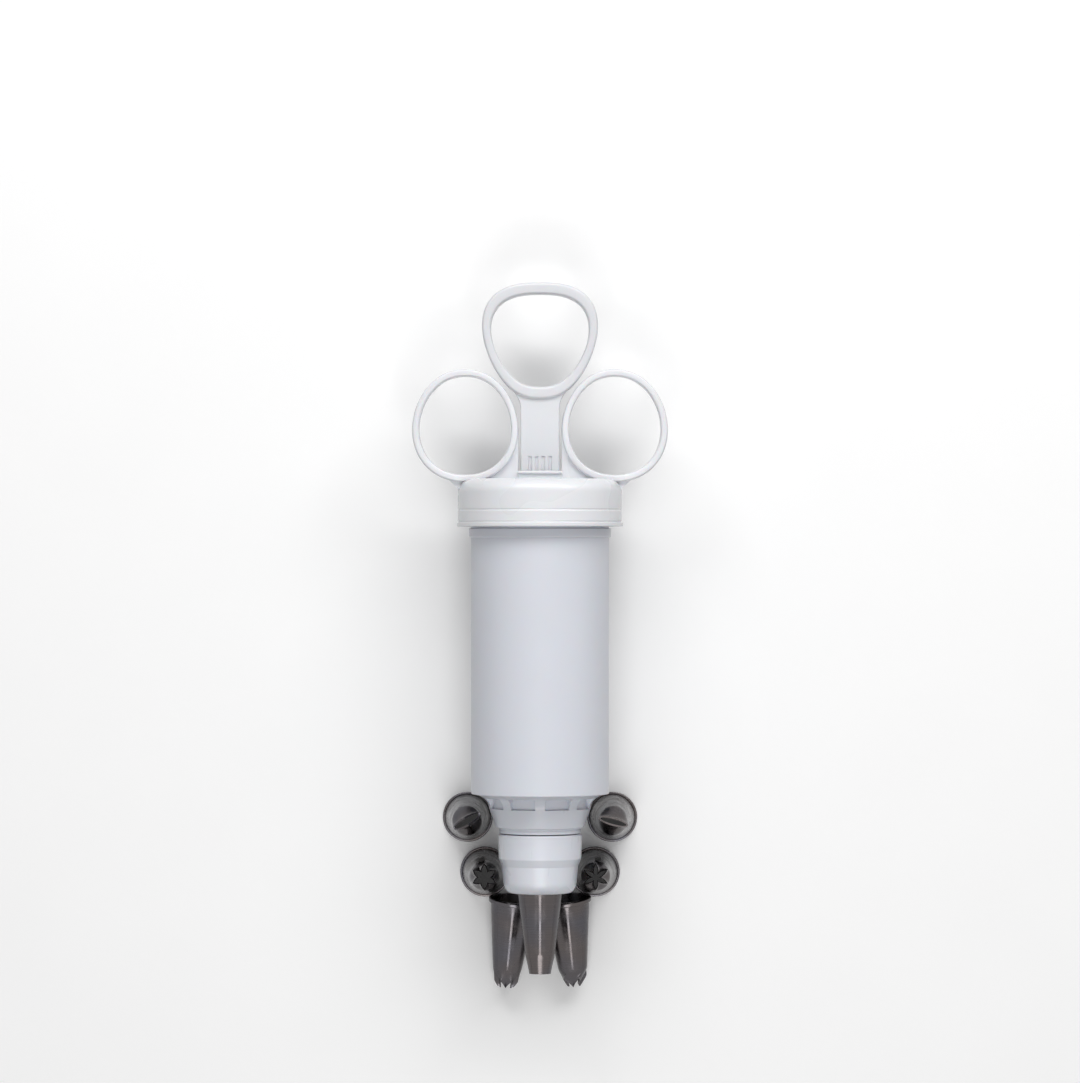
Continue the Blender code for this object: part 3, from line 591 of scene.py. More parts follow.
def rounded(corners, steps=ARC_STEPS):
    """Swaps each (a, b, round) corner of a closed outline for an arc of that radius."""
    points = []
    for index, (a, b, size) in enumerate(corners):
        here = Vector((a, b))
        if not size:
            points.append((a, b))
            continue
        before = Vector(corners[index - 1][:2]) - here
        after = Vector(corners[(index + 1) % len(corners)][:2]) - here
        half = before.angle(after) / 2
        longest = min(before.length, after.length) * CORNER_REACH_SHARE
        reach = min(size / math.tan(half), longest)
        middle = (before.normalized() + after.normalized()).normalized()
        centre = here + middle * reach / math.cos(half)
        start = here + before.normalized() * reach - centre
        end = here + after.normalized() * reach - centre
        first = math.atan2(start.y, start.x)
        sweep = (math.atan2(end.y, end.x) - first + math.pi) % math.tau - math.pi
        for step in range(steps + 1):
            angle = first + sweep * step / steps
            across = start.length * math.cos(angle)
            points.append((centre.x + across, centre.y + start.length * math.sin(angle)))
    return points


def draw_outline(name, points):
    """A ring of corners, moved onto the outline's points."""
    work_on(None)
    bpy.ops.mesh.primitive_circle_add(vertices=len(points), radius=1)
    piece = name_piece(bpy.context.object, name)
    for corner, point in zip(piece.data.vertices, points):
        corner.co = point
    return piece


def turned(name, outline, axis="Y", steps=None, angle=math.tau):
    """Spins a closed outline of (radius, place) points round the axis."""
    if axis == "Y":
        points = [(radius, place, 0) for radius, place in outline]
        direction = (0, 1, 0)
    else:
        points = [(radius, 0, place) for radius, place in outline]
        direction = (0, 0, 1)
    piece = draw_outline(name, points)
    work_on(piece)
    bpy.ops.object.mode_set(mode="EDIT")
    bpy.ops.mesh.select_all(action="SELECT")
    full = steps or sizes().turn_steps
    bpy.ops.mesh.spin(steps=full, angle=angle, center=(0, 0, 0), axis=direction)
    if angle < math.tau:
        bpy.ops.mesh.select_all(action="DESELECT")
        bpy.ops.mesh.select_mode(type="EDGE")
        bpy.ops.mesh.select_non_manifold()
        bpy.ops.mesh.fill_holes(sides=0)
        bpy.ops.mesh.select_mode(type="VERT")
    bpy.ops.object.mode_set(mode="OBJECT")
    return tidy_shell(piece)


def thick_plate(name, outline, low, high, edge_round=0.0, along="Z"):
    """Fills a flat outline, extrudes it from low to high and rounds its rims."""
    if along == "Z":
        points = [(a, b, low) for a, b in outline]
        move = (0, 0, high - low)
    else:
        points = [(a, low, b) for a, b in outline]
        move = (0, high - low, 0)
    piece = draw_outline(name, points)
    work_on(piece)
    bpy.ops.object.mode_set(mode="EDIT")
    bpy.ops.mesh.select_all(action="SELECT")
    bpy.ops.mesh.edge_face_add()
    bpy.ops.mesh.extrude_region_move(TRANSFORM_OT_translate={"value": move})
    bpy.ops.object.mode_set(mode="OBJECT")
    tidy_shell(piece)
    if edge_round:
        rim = piece.modifiers.new("rounded rim", "BEVEL")
        rim.width = edge_round
        rim.segments = BEVEL_SEGMENTS
        rim.limit_method = "ANGLE"
        rim.angle_limit = BEVEL_ANGLE
        bpy.ops.object.modifier_apply(modifier=rim.name)
    return piece


def combine(piece, tool, operation):
    """Joins the tool to the piece, or cuts it away, and removes the tool."""
    work_on(piece)
    step = piece.modifiers.new(operation, "BOOLEAN")
    step.operation = operation
    step.solver = "EXACT"
    step.object = tool
    bpy.ops.object.modifier_apply(modifier=step.name)
    bpy.data.objects.remove(tool, do_unlink=True)


def egg_point(ring, angle, side=0.0, top=0.0):
    """A point of a squarish egg, widest above its middle where its narrowing share is over nought."""
    rise = math.sin(angle)
    reach = math.copysign(abs(math.cos(angle)) ** ring["square_share"], math.cos(angle))
    width = (ring["half_width"] + side) * (1 + ring["narrowing_share"] * rise)
    return Vector((ring["x"] + width * reach, ring["y"] + (ring["half_height"] + top) * rise))


def finger_band(name, ring, side_wall, top_wall, depth):
    """A torus reshaped into a flat band with rounded edges round an egg-shaped hole."""
    work_on(None)
    bpy.ops.mesh.primitive_torus_add(
        major_segments=BAND_STEPS, minor_segments=BAND_SECTION_STEPS, major_radius=1.0, minor_radius=0.25
    )
    piece = name_piece(bpy.context.object, name)
    for corner in piece.data.vertices:
        x, y, z = corner.co
        angle = math.atan2(y, x)
        round_angle = math.atan2(z, math.hypot(x, y) - 1.0)
        out = math.copysign(abs(math.cos(round_angle)) ** BAND_OUT_POWER, math.cos(round_angle))
        up = math.copysign(abs(math.sin(round_angle)) ** BAND_UP_POWER, math.sin(round_angle))
        hole = egg_point(ring, angle)
        rim = egg_point(ring, angle, side_wall, top_wall)
        flat = hole.lerp(rim, 0.5 + 0.5 * out)
        corner.co = (flat.x, flat.y, up * depth / 2)
    return tidy_shell(piece)


def thread_ridge(name, root, crest, low, high, phase):
    """A grid rolled into a right-hand thread, which runs out at both ends."""
    pitch = sizes().thread_pitch
    width = sizes().thread_width
    turns = (high - low) / pitch
    along = int(THREAD_TURN_STEPS * turns)
    across = len(THREAD_SECTION_SHARES) - 1
    work_on(None)
    bpy.ops.mesh.primitive_grid_add(x_subdivisions=along, y_subdivisions=across, size=2)
    piece = name_piece(bpy.context.object, name)
    fades = turns * THREAD_FADES_PER_TURN
    for corner in piece.data.vertices:
        travel = (corner.co.x + 1) / 2
        rise, reach = THREAD_SECTION_SHARES[round((corner.co.y + 1) / 2 * across)]
        fade = min(1.0, travel * fades, (1 - travel) * fades)
        radius = root + (crest - root) * rise * fade
        angle = phase + math.tau * turns * travel
        place = low + (high - low) * travel + width * reach
        corner.co = (radius * math.cos(angle), place, -radius * math.sin(angle))
    work_on(piece)
    bpy.ops.object.mode_set(mode="EDIT")
    bpy.ops.mesh.select_all(action="SELECT")
    bpy.ops.mesh.remove_doubles(threshold=WELD_DISTANCE)
    bpy.ops.mesh.select_all(action="DESELECT")
    bpy.ops.mesh.select_mode(type="EDGE")
    bpy.ops.mesh.select_non_manifold()
    bpy.ops.mesh.fill_holes(sides=0)
    bpy.ops.mesh.select_mode(type="VERT")
    bpy.ops.object.mode_set(mode="OBJECT")
    return tidy_shell(piece)


def hand_over(piece, node, body, material, lift=AXIS_HEIGHT):
    """Sets the finished piece on the axis, gives it its material and lets it stand for its node."""
    piece.data.transform(Matrix.Translation((0, 0, lift)))
    piece.data.materials.clear()
    piece.data.materials.append(material)
    work_on(piece)
    bpy.ops.object.shade_smooth_by_angle(angle=SMOOTH_ANGLE)
    weights = piece.modifiers.new("weighted normals", "WEIGHTED_NORMAL")
    weights.keep_sharp = True
    bpy.ops.object.modifier_apply(modifier=weights.name)
    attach(piece, body)
    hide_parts(node)


def finger_ring(side):
    return {
        "x": side * FINGER_RING_OFFSET,
        "y": FINGER_RING_PLACE,
        "half_width": FINGER_HOLE_HALF_WIDTH,
        "half_height": FINGER_HOLE_HALF_HEIGHT,
        "narrowing_share": FINGER_NARROWING_SHARE,
        "square_share": FINGER_SQUARE_SHARE,
    }


def thumb_ring():
    return {
        "x": 0.0,
        "y": THUMB_RING_PLACE,
        "half_width": THUMB_HOLE_HALF_WIDTH,
        "half_height": THUMB_HOLE_HALF_HEIGHT,
        "narrowing_share": THUMB_NARROWING_SHARE,
        "square_share": THUMB_SQUARE_SHARE,
    }


def rectangle(width, depth, corner):
    signs = [(-1, -1), (1, -1), (1, 1), (-1, 1)]
    return rounded([(a * width / 2, b * depth / 2, corner) for a, b in signs])


def shoulder_pocket(number):
    """A sector that cuts one pocket of the shoulder's ring."""
    rib = 2 * math.asin(POCKET_RIB_WIDTH / 2 / POCKET_FLOOR_RADIUS)
    span = math.tau / POCKET_COUNT - rib
    outer = BARREL_RADIUS + CUT_OVERRUN
    outline = rounded(
        [
            (POCKET_FLOOR_RADIUS, POCKET_TOP, SMALL_ROUND),
            (POCKET_FLOOR_RADIUS, POCKET_END, SMALL_ROUND),
            (outer, POCKET_END, 0),
            (outer, POCKET_TOP, 0),
        ]
    )
    cutter = turned(f"pocket_{number}", outline, steps=POCKET_STEPS, angle=span)
    middle = sum((corner.co for corner in cutter.data.vertices), Vector())
    wanted = math.pi / 2 + math.tau * (number + 0.5) / POCKET_COUNT
    present = math.atan2(middle.z, middle.x)
    cutter.data.transform(Matrix.Rotation(present - wanted, 4, "Y"))
    return cutter


class SYRINGE_OT_barrel(Operator):
    """Turns the barrel, cuts the shoulder's pockets and winds the thread on the neck"""

    bl_idname = "syringe.make_barrel"
    bl_label = "Make barrel"

    def execute(self, context):
        core = NECK_RADIUS - sizes().thread_height
        corners = [
            (MOUTH_LAND_RADIUS, MOUTH, MIDDLE_ROUND),
            (MOUTH_LAND_RADIUS, MOUTH_LAND_END, CRISP_ROUND),
            (BARREL_RADIUS, MOUTH_LAND_END - MOUTH_LAND_SLOPE, CRISP_ROUND),
            (BARREL_RADIUS, STOP_RING_TOP, TINY_ROUND),
            (STOP_RING_RADIUS, STOP_RING_TOP, CRISP_ROUND),
            (STOP_RING_RADIUS, STOP_RING_END, SMALL_ROUND),
            (BARREL_RADIUS, STOP_RING_END, CRISP_ROUND),
            (BARREL_RADIUS, SHOULDER_PLACE, MIDDLE_ROUND),
        ]
        fall = BARREL_RADIUS - SHOULDER_END_RADIUS
        length = SHOULDER_PLACE - SHOULDER_END
        for step in range(1, SHOULDER_STEPS + 1):
            turn = math.pi / 2 * step / SHOULDER_STEPS
            radius = BARREL_RADIUS - fall * math.sin(turn)
            corners.append((radius, SHOULDER_PLACE - length * (1 - math.cos(turn)), 0))
        corners += [
            (NECK_BASE_RADIUS, NECK_BASE_END, SMALL_ROUND),
            (NECK_GROOVE_RADIUS, NECK_BASE_END - NECK_BASE_SLOPE, CRISP_ROUND),
            (NECK_GROOVE_RADIUS, NECK_START, CRISP_ROUND),
            (core, NECK_START, SMALL_ROUND),
            (core, NECK_END, MIDDLE_ROUND),
            (NECK_BORE, NECK_END, SMALL_ROUND),
            (NECK_BORE, NECK_BASE_END + NECK_BORE_RISE, SOFT_ROUND),
            (CHAMBER_FLOOR_RADIUS, CHAMBER_FLOOR, FULL_ROUND),
            (CHAMBER_END_RADIUS, CHAMBER_CONE_END, MIDDLE_ROUND),
            (BORE_RADIUS, CHAMBER_CONE_START, WIDE_ROUND),
            (BORE_RADIUS, MOUTH, FULL_ROUND),
        ]
        barrel = turned("barrel_shell", rounded(corners))
        for number in range(POCKET_COUNT):
            combine(barrel, shoulder_pocket(number), "DIFFERENCE")
        low = NECK_END + THREAD_LEAD
        high = NECK_START - THREAD_LEAD
        ridge = thread_ridge("neck_thread", core - THREAD_ROOT_EMBED, NECK_RADIUS, low, high, 0.0)
        combine(barrel, ridge, "UNION")
        material = moulded_plastic("barrel plastic", finishes().barrel_colour, BARREL_ROUGHNESS)
        hand_over(barrel, "barrel", "barrel", material)
        return {"FINISHED"}


class SYRINGE_OT_ring_cap(Operator):
    """Turns the cap and joins both finger rings, their webs and the stem's guide to it"""

    bl_idname = "syringe.make_ring_cap"
    bl_label = "Make ring cap"

    def web_outline(self, side, ring):
        inner_wall = STEM_WIDTH / 2 + STEM_SIDE_GAP
        rim_angle = math.pi - WEB_SIDE_ANGLE if side > 0 else WEB_SIDE_ANGLE
        reach = FINGER_RING_WALL * WEB_REACH_SHARE
        outer = egg_point(ring, rim_angle, reach, reach)
        foot = CAP_BODY_RADIUS - WEB_FOOT_INSET
        return [
            (side * inner_wall, CAP_TOP - WEB_EMBED),
            (side * inner_wall, FINGER_RING_PLACE),
            (ring["x"], FINGER_RING_PLACE),
            (outer.x, outer.y),
            (side * foot, CAP_TOP - CAP_EDGE_ROUND),
            (side * foot, CAP_TOP - CAP_EDGE_ROUND - WEB_EMBED),
            (side * (CAP_BORE + WEB_BORE_GAP), CAP_UNDERSIDE + WEB_BORE_GAP),
            (side * (foot - CAP_EDGE_ROUND), CAP_TOP - WEB_EMBED),
        ]

    def execute(self, context):
        corners = [
            (0, CAP_TOP, 0),
            (CAP_BODY_RADIUS, CAP_TOP, CAP_EDGE_ROUND),
        ]
        for place in CAP_LINE_PLACES:
            corners += [
                (CAP_BODY_RADIUS, place + CAP_LINE_HALF_WIDTH, TINY_ROUND),
                (CAP_BODY_RADIUS - CAP_LINE_DEPTH, place, TINY_ROUND),
                (CAP_BODY_RADIUS, place - CAP_LINE_HALF_WIDTH, TINY_ROUND),
            ]
        corners += [
            (CAP_RADIUS, CAP_SKIRT_END + CAP_RIM_HEIGHT, TINY_ROUND),
            (CAP_RADIUS, CAP_SKIRT_END, SMALL_ROUND),
            (CAP_BORE, CAP_SKIRT_END, SMALL_ROUND),
            (CAP_BORE, CAP_UNDERSIDE, MIDDLE_ROUND),
            (0, CAP_UNDERSIDE, 0),
        ]
        cap = turned("ring_cap_shell", rounded(corners, CAP_ARC_STEPS))
        for side in (-1, 1):
            ring = finger_ring(side)
            half_wall = FINGER_RING_WALL / 2
            outline = self.web_outline(side, ring)
            web = thick_plate("web", outline, -WEB_DEPTH / 2, WEB_DEPTH / 2, WEB_EDGE_ROUND)
            angles = [math.tau * step / WEB_HOLE_STEPS for step in range(WEB_HOLE_STEPS)]
            hole = [tuple(egg_point(ring, angle, half_wall, half_wall)) for angle in angles]
            opening = thick_plate("web_opening", hole, -WEB_DEPTH, WEB_DEPTH)
            combine(web, opening, "DIFFERENCE")
            band = finger_band("band", ring, FINGER_RING_WALL, FINGER_RING_WALL, FINGER_RING_DEPTH)
            combine(cap, web, "UNION")
            combine(cap, band, "UNION")
        grow = 2 * (STEM_GAP + GUIDE_WALL)
        width = STEM_WIDTH + grow
        depth = STEM_DEPTH + grow
        guide_end = CAP_TOP + GUIDE_HEIGHT
        lip_start = guide_end - GUIDE_LIP_HEIGHT
        neck_outline = rectangle(width, depth - 2 * GUIDE_NECK_INSET, SOFT_ROUND)
        lip_outline = rectangle(width, depth + 2 * GUIDE_LIP_REACH, SOFT_ROUND)
        neck_end = guide_end - GUIDE_LIP_HEIGHT / 2
        neck = thick_plate("guide_neck", neck_outline, CAP_TOP - WEB_EMBED, neck_end, 0.0, "Y")
        lip = thick_plate("guide_lip", lip_outline, lip_start, guide_end, SMALL_ROUND, "Y")
        for tool in (neck, lip):
            combine(cap, tool, "UNION")
        slot_outline = rectangle(STEM_WIDTH + 2 * STEM_GAP, STEM_DEPTH + 2 * STEM_GAP, SMALL_ROUND)
        slot_start = CAP_UNDERSIDE - CUT_OVERRUN
        slot = thick_plate("slot", slot_outline, slot_start, guide_end + CUT_OVERRUN, 0.0, "Y")
        combine(cap, slot, "DIFFERENCE")
        material = moulded_plastic("cap plastic", finishes().cap_colour, CAP_ROUGHNESS)
        hand_over(cap, "ring_cap", "ring_cap", material)
        return {"FINISHED"}


class SYRINGE_OT_plunger(Operator):
    """Joins the thumb ring, the flared blade, the ribbed stem and the foot into the plunger's rod"""

    bl_idname = "syringe.make_plunger"
    bl_label = "Make plunger"

    def flare(self, ring):
        """The stem's upper end, which widens in two hollow curves into the thumb ring."""
        half_stem = STEM_WIDTH / 2
        side = THUMB_RING_SIDE_WALL * WEB_REACH_SHARE
        joint = egg_point(ring, FLARE_ANGLE, side, THUMB_RING_TOP_WALL * WEB_REACH_SHARE)
        low = THUMB_RING_PLACE - THUMB_HOLE_HALF_HEIGHT - FLARE_LENGTH
        right = []
        for step in range(FLARE_STEPS + 1):
            share = step / FLARE_STEPS
            half_width = half_stem + (joint.x - half_stem) * share**2
            right.append((half_width, low + (joint.y - low) * share))
        bridge_angle = FLARE_ANGLE * FLARE_BRIDGE_SHARE
        bridge = [
            tuple(egg_point(ring, angle, THUMB_RING_SIDE_WALL / 2, THUMB_RING_TOP_WALL / 2))
            for angle in (bridge_angle, -math.pi / 2, math.pi - bridge_angle)
        ]
        left = [(-x, y) for x, y in reversed(right)]
        end = RIB_START - WEB_EMBED
        return [(half_stem, end)] + right + bridge + left + [(-half_stem, end)]

    def ribbed_section(self):
        """The stem's section, with grooves on both flat faces that leave ribs between them."""
        half_width = STEM_WIDTH / 2
        half_depth = STEM_DEPTH / 2
        face = [(half_width, 0, STEM_EDGE_ROUND)]
        for groove in range(RIB_COUNT, 0, -1):
            middle = (groove - (RIB_COUNT + 1) / 2) * RIB_PITCH
            near = middle + RIB_GROOVE_WIDTH / 2
            far = middle - RIB_GROOVE_WIDTH / 2
            face += [(near, 0, CRISP_ROUND), (near, -RIB_GROOVE_DEPTH, CRISP_ROUND)]
            face += [(far, -RIB_GROOVE_DEPTH, CRISP_ROUND), (far, 0, CRISP_ROUND)]
        face.append((-half_width, 0, STEM_EDGE_ROUND))
        upper = [(x, half_depth + dip, size) for x, dip, size in face]
        lower = [(-x, -z, size) for x, z, size in upper]
        return rounded(upper + lower, RIB_ARC_STEPS)

    def execute(self, context):
        ring = thumb_ring()
        stem_end = FOOT_FACE + FOOT_HEIGHT / 2
        rod = thick_plate("plunger_stem", self.ribbed_section(), stem_end, RIB_START, 0.0, "Y")
        blade = thick_plate("blade", self.flare(ring), -STEM_DEPTH / 2, STEM_DEPTH / 2, STEM_EDGE_ROUND)
        band = finger_band("band", ring, THUMB_RING_SIDE_WALL, THUMB_RING_TOP_WALL, THUMB_RING_DEPTH)
        foot_corners = [
            (0, FOOT_FACE, 0),
            (FOOT_RADIUS, FOOT_FACE, SMALL_ROUND),
            (FOOT_RADIUS, FOOT_FACE + FOOT_HEIGHT, SMALL_ROUND),
            (0, FOOT_FACE + FOOT_HEIGHT, 0),
        ]
        foot = turned("foot", rounded(foot_corners), steps=FOOT_STEPS)
        for tool in (blade, band, foot):
            combine(rod, tool, "UNION")
        name_piece(rod, "plunger_rod_shell")
        material = moulded_plastic("plunger plastic", finishes().plunger_colour, PLUNGER_ROUGHNESS)
        hand_over(rod, "plunger_rod", "plunger", material)
        return {"FINISHED"}


class SYRINGE_OT_piston(Operator):
    """Turns the piston and the seal ring in its groove"""

    bl_idname = "syringe.make_piston"
    bl_label = "Make piston and seal"

    def execute(self, context):
        groove = SEAL_RADIUS - SEAL_SECTION - SOCKET_GAP
        rim_inside = PISTON_RADIUS - PISTON_RIM_WALL
        socket = FOOT_RADIUS + SOCKET_GAP
        hub_top = FOOT_FACE + FOOT_HEIGHT
        corners = [
            (0, PISTON_LOW.y, 0),
            (PISTON_NOSE_RADIUS, PISTON_LOW.y, SOFT_ROUND),
            (PISTON_RADIUS, PISTON_EDGE, MIDDLE_ROUND),
            (PISTON_RADIUS, SEAL_LOW.y - SOCKET_GAP, SMALL_ROUND),
            (groove, SEAL_LOW.y - SOCKET_GAP, CRISP_ROUND),
            (groove, SEAL_HIGH.y + SOCKET_GAP, CRISP_ROUND),
            (PISTON_RADIUS, SEAL_HIGH.y + SOCKET_GAP, SMALL_ROUND),
            (PISTON_RADIUS, PISTON_HIGH.y, MIDDLE_ROUND),
            (rim_inside, PISTON_HIGH.y, MIDDLE_ROUND),
            (rim_inside, PISTON_EDGE + PISTON_WEB, SOFT_ROUND),
            (PISTON_NOSE_RADIUS, SOCKET_FLOOR, SOFT_ROUND),
            (socket + HUB_WALL, SOCKET_FLOOR, SMALL_ROUND),
            (socket + HUB_WALL, hub_top, SMALL_ROUND),
            (socket, hub_top, SMALL_ROUND),
            (socket, SOCKET_FLOOR, CRISP_ROUND),
            (0, SOCKET_FLOOR, 0),
        ]
        piston = turned("piston_shell", rounded(corners))
        material = moulded_plastic("piston plastic", finishes().plunger_colour, PISTON_ROUGHNESS)
        hand_over(piston, "piston", "plunger", material)

        inner = SEAL_RADIUS - SEAL_SECTION
        seal_corners = [
            (inner, SEAL_LOW.y, SMALL_ROUND),
            (SEAL_RADIUS, SEAL_LOW.y, SEAL_ROUND),
            (SEAL_RADIUS, SEAL_HIGH.y, SEAL_ROUND),
            (inner, SEAL_HIGH.y, SMALL_ROUND),
        ]
        seal = turned("piston_seal_ring", rounded(seal_corners))
        rubber = soft_rubber("seal rubber", finishes().seal_colour)
        hand_over(seal, "piston_seal", "plunger", rubber)
        return {"FINISHED"}


class SYRINGE_OT_collar(Operator):
    """Turns the nozzle collar and winds the thread inside it"""

    bl_idname = "syringe.make_collar"
    bl_label = "Make nozzle collar"

    def execute(self, context):
        corners = [
            (COLLAR_TOP_RADIUS, COLLAR_TOP, FULL_ROUND),
            (COLLAR_TOP_RADIUS - COLLAR_BAND_TAPER, COLLAR_BAND_END, SOFT_ROUND),
            (COLLAR_STEP_RADIUS, COLLAR_STEP_END, WIDE_ROUND),
        ]
        for step in range(COLLAR_EDGE_STEPS):
            turn = math.pi / 2 * step / COLLAR_EDGE_STEPS
            radius = COLLAR_END_RADIUS - COLLAR_EDGE_ROUND * (1 - math.cos(turn))
            corners.append((radius, COLLAR_END + COLLAR_EDGE_LENGTH * (1 - math.sin(turn)), 0))
        corners += [
            (COLLAR_END_RADIUS - COLLAR_EDGE_ROUND, COLLAR_END, 0),
            (COLLAR_MOUTH, COLLAR_END, SMALL_ROUND),
            (COLLAR_MOUTH, COLLAR_FLOOR, CRISP_ROUND),
            (COLLAR_BORE, COLLAR_FLOOR, SMALL_ROUND),
            (COLLAR_BORE, COLLAR_TOP, SMALL_ROUND),
        ]
        collar = turned("nozzle_collar_shell", rounded(corners, COLLAR_ARC_STEPS))
        low = NECK_END + THREAD_LEAD
        high = NECK_START - THREAD_LEAD - COLLAR_THREAD_INSET
        root = COLLAR_BORE + THREAD_ROOT_EMBED
        crest = COLLAR_BORE - sizes().thread_height
        ridge = thread_ridge("collar_thread", root, crest, low, high, math.pi)
        combine(collar, ridge, "UNION")
        material = moulded_plastic("collar plastic", finishes().collar_colour, COLLAR_ROUGHNESS)
        hand_over(collar, "nozzle_collar", "nozzle_collar", material)
        return {"FINISHED"}


def plain_tip(tip, angle, share):
    """How far the tip reaches across and along its wide axis, and how far its edge is cut back."""
    across = 1 + tip["widening_share"] * share
    along = 1 - tip["flattening_share"] * share
    return across, along, tip["cut_share"] * abs(math.cos(angle))


def star_tip(tip, angle, share):
    """The same for teeth that bend inwards at full height, with notches cut back between them."""
    turns = tip["teeth"] * (angle - tip["lean"] * share) / math.tau
    tooth = abs(2 * (turns % 1) - 1)
    reach = 1 - tip["bend_share"] * tooth * share
    return reach, reach, tip["notch_share"] * (1 - tooth)


def body_radius(height):
    taper = (BODY_RADIUS - TIP_RADIUS) / (NOZZLE_LENGTH - BODY_START)
    return BODY_RADIUS - taper * (height - BODY_START)


def nozzle_outline():
    """The wall of a nozzle from its base to its tip: rolled bead, cone and the inside back down."""
    wall = sizes().nozzle_wall
    tip_start = NOZZLE_LENGTH - TIP_LENGTH
    heights = [BODY_START + (tip_start - BODY_START) * step / BODY_RINGS for step in range(BODY_RINGS)]
    heights += [tip_start + TIP_LENGTH * step / TIP_RINGS for step in range(TIP_RINGS + 1)]
    bead = rounded(
        [
            (BODY_RADIUS - wall, 0.0, CRISP_ROUND),
            (BEAD_RADIUS, 0.0, BEAD_ROUND),
            (BEAD_RADIUS, BEAD_HEIGHT, BEAD_ROUND),
            (BODY_RADIUS + BEAD_STEP, BEAD_HEIGHT, TINY_ROUND),
        ]
    )
    outer = [(body_radius(height), height) for height in heights]
    inner = [(body_radius(height) - wall, height) for height in reversed(heights)]
    return bead + outer + inner


def press_nozzle(name, kind):
    """Spins a nozzle round its own axis, presses its tip, raises its seam and notes each height."""
    piece = turned(name, nozzle_outline(), axis="Z", steps=NOZZLE_STEPS)
    tip = PLAIN_TIPS.get(kind) or STAR_TIPS[kind]
    shape = plain_tip if kind in PLAIN_TIPS else star_tip
    tip_start = NOZZLE_LENGTH - TIP_LENGTH
    seam_width = sizes().seam_width
    heights = []
    for corner in piece.data.vertices:
        x, y, height = corner.co
        heights.append(height)
        angle = math.atan2(y, x) % math.tau
        inset = body_radius(height) - math.hypot(x, y)
        if height > tip_start:
            share = (height - tip_start) / TIP_LENGTH
            eased = share * share * (3 - 2 * share)
            across, along, cut = shape(tip, angle, eased)
            height = tip_start + (NOZZLE_LENGTH - cut * TIP_LENGTH - tip_start) * share
            radius = body_radius(height)
            corner.co = (
                (radius * across - inset) * math.cos(angle),
                (radius * along - inset) * math.sin(angle),
                height,
            )
        elif height > BODY_START and abs(inset) < WELD_DISTANCE:
            from_seam = abs((angle - math.pi / 2 + math.pi) % math.tau - math.pi) * body_radius(height)
            if from_seam < seam_width:
                rise = sizes().seam_height * (0.5 + 0.5 * math.cos(math.pi * from_seam / seam_width))
                scale = 1 + rise / math.hypot(x, y)
                corner.co = (x * scale, y * scale, height)
    attribute = piece.data.attributes.new("height", "FLOAT", "POINT")
    attribute.data.foreach_set("value", heights)
    return piece


def seat_in_box(piece, node):
    """Moves the mesh until the middle and the foot of its box are its node's."""
    low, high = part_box(node)
    corners = [corner.co for corner in piece.data.vertices]
    mine_low = Vector(map(min, zip(*corners)))
    mine_high = Vector(map(max, zip(*corners)))
    shift = (low + high - mine_low - mine_high) / 2
    shift.z = low.z - mine_low.z
    piece.data.transform(Matrix.Translation(shift))


class SYRINGE_OT_nozzles(Operator):
    """Presses the seven steel nozzles and sets each in its place"""

    bl_idname = "syringe.make_nozzles"
    bl_label = "Make nozzles"

    def execute(self, context):
        # the steel's very dark colour is a painted reflection of dark surroundings
        material = pressed_steel("nozzle steel", finishes().steel_dark_reflection_colour)
        tilt = math.asin((BEAD_RADIUS - TIP_RADIUS) / NOZZLE_LENGTH)
        fallen = Matrix.Rotation(math.pi / 2 + tilt, 4, "X")
        leaning_left = Matrix.Rotation(-LYING_YAW, 4, "Z") @ fallen
        leaning_right = Matrix.Rotation(LYING_YAW, 4, "Z") @ fallen
        poses = (
            ("round", "fitted_round_nozzle", "fitted_nozzle", Matrix.Rotation(math.pi / 2, 4, "X")),
            ("leaf", "loose_leaf_nozzle", "leaf_nozzle", Matrix.Rotation(LEAF_TURN, 4, "Z")),
            ("ribbon", "loose_ribbon_nozzle", "ribbon_nozzle", Matrix.Rotation(RIBBON_TURN, 4, "Z")),
            ("open_star", "loose_open_star_nozzle", "open_star_nozzle", Matrix.Identity(4)),
            ("closed_star", "loose_closed_star_nozzle", "closed_star_nozzle", Matrix.Identity(4)),
            ("fine_star", "loose_fine_star_nozzle", "fine_star_nozzle", leaning_left),
            ("twist_star", "loose_twist_star_nozzle", "twist_star_nozzle", leaning_right),
        )
        for kind, node, body, pose in poses:
            piece = press_nozzle(f"{kind}_nozzle_sheet", kind)
            piece.data.transform(pose)
            seat_in_box(piece, node)
            hand_over(piece, node, body, material, lift=0.0)
        return {"FINISHED"}


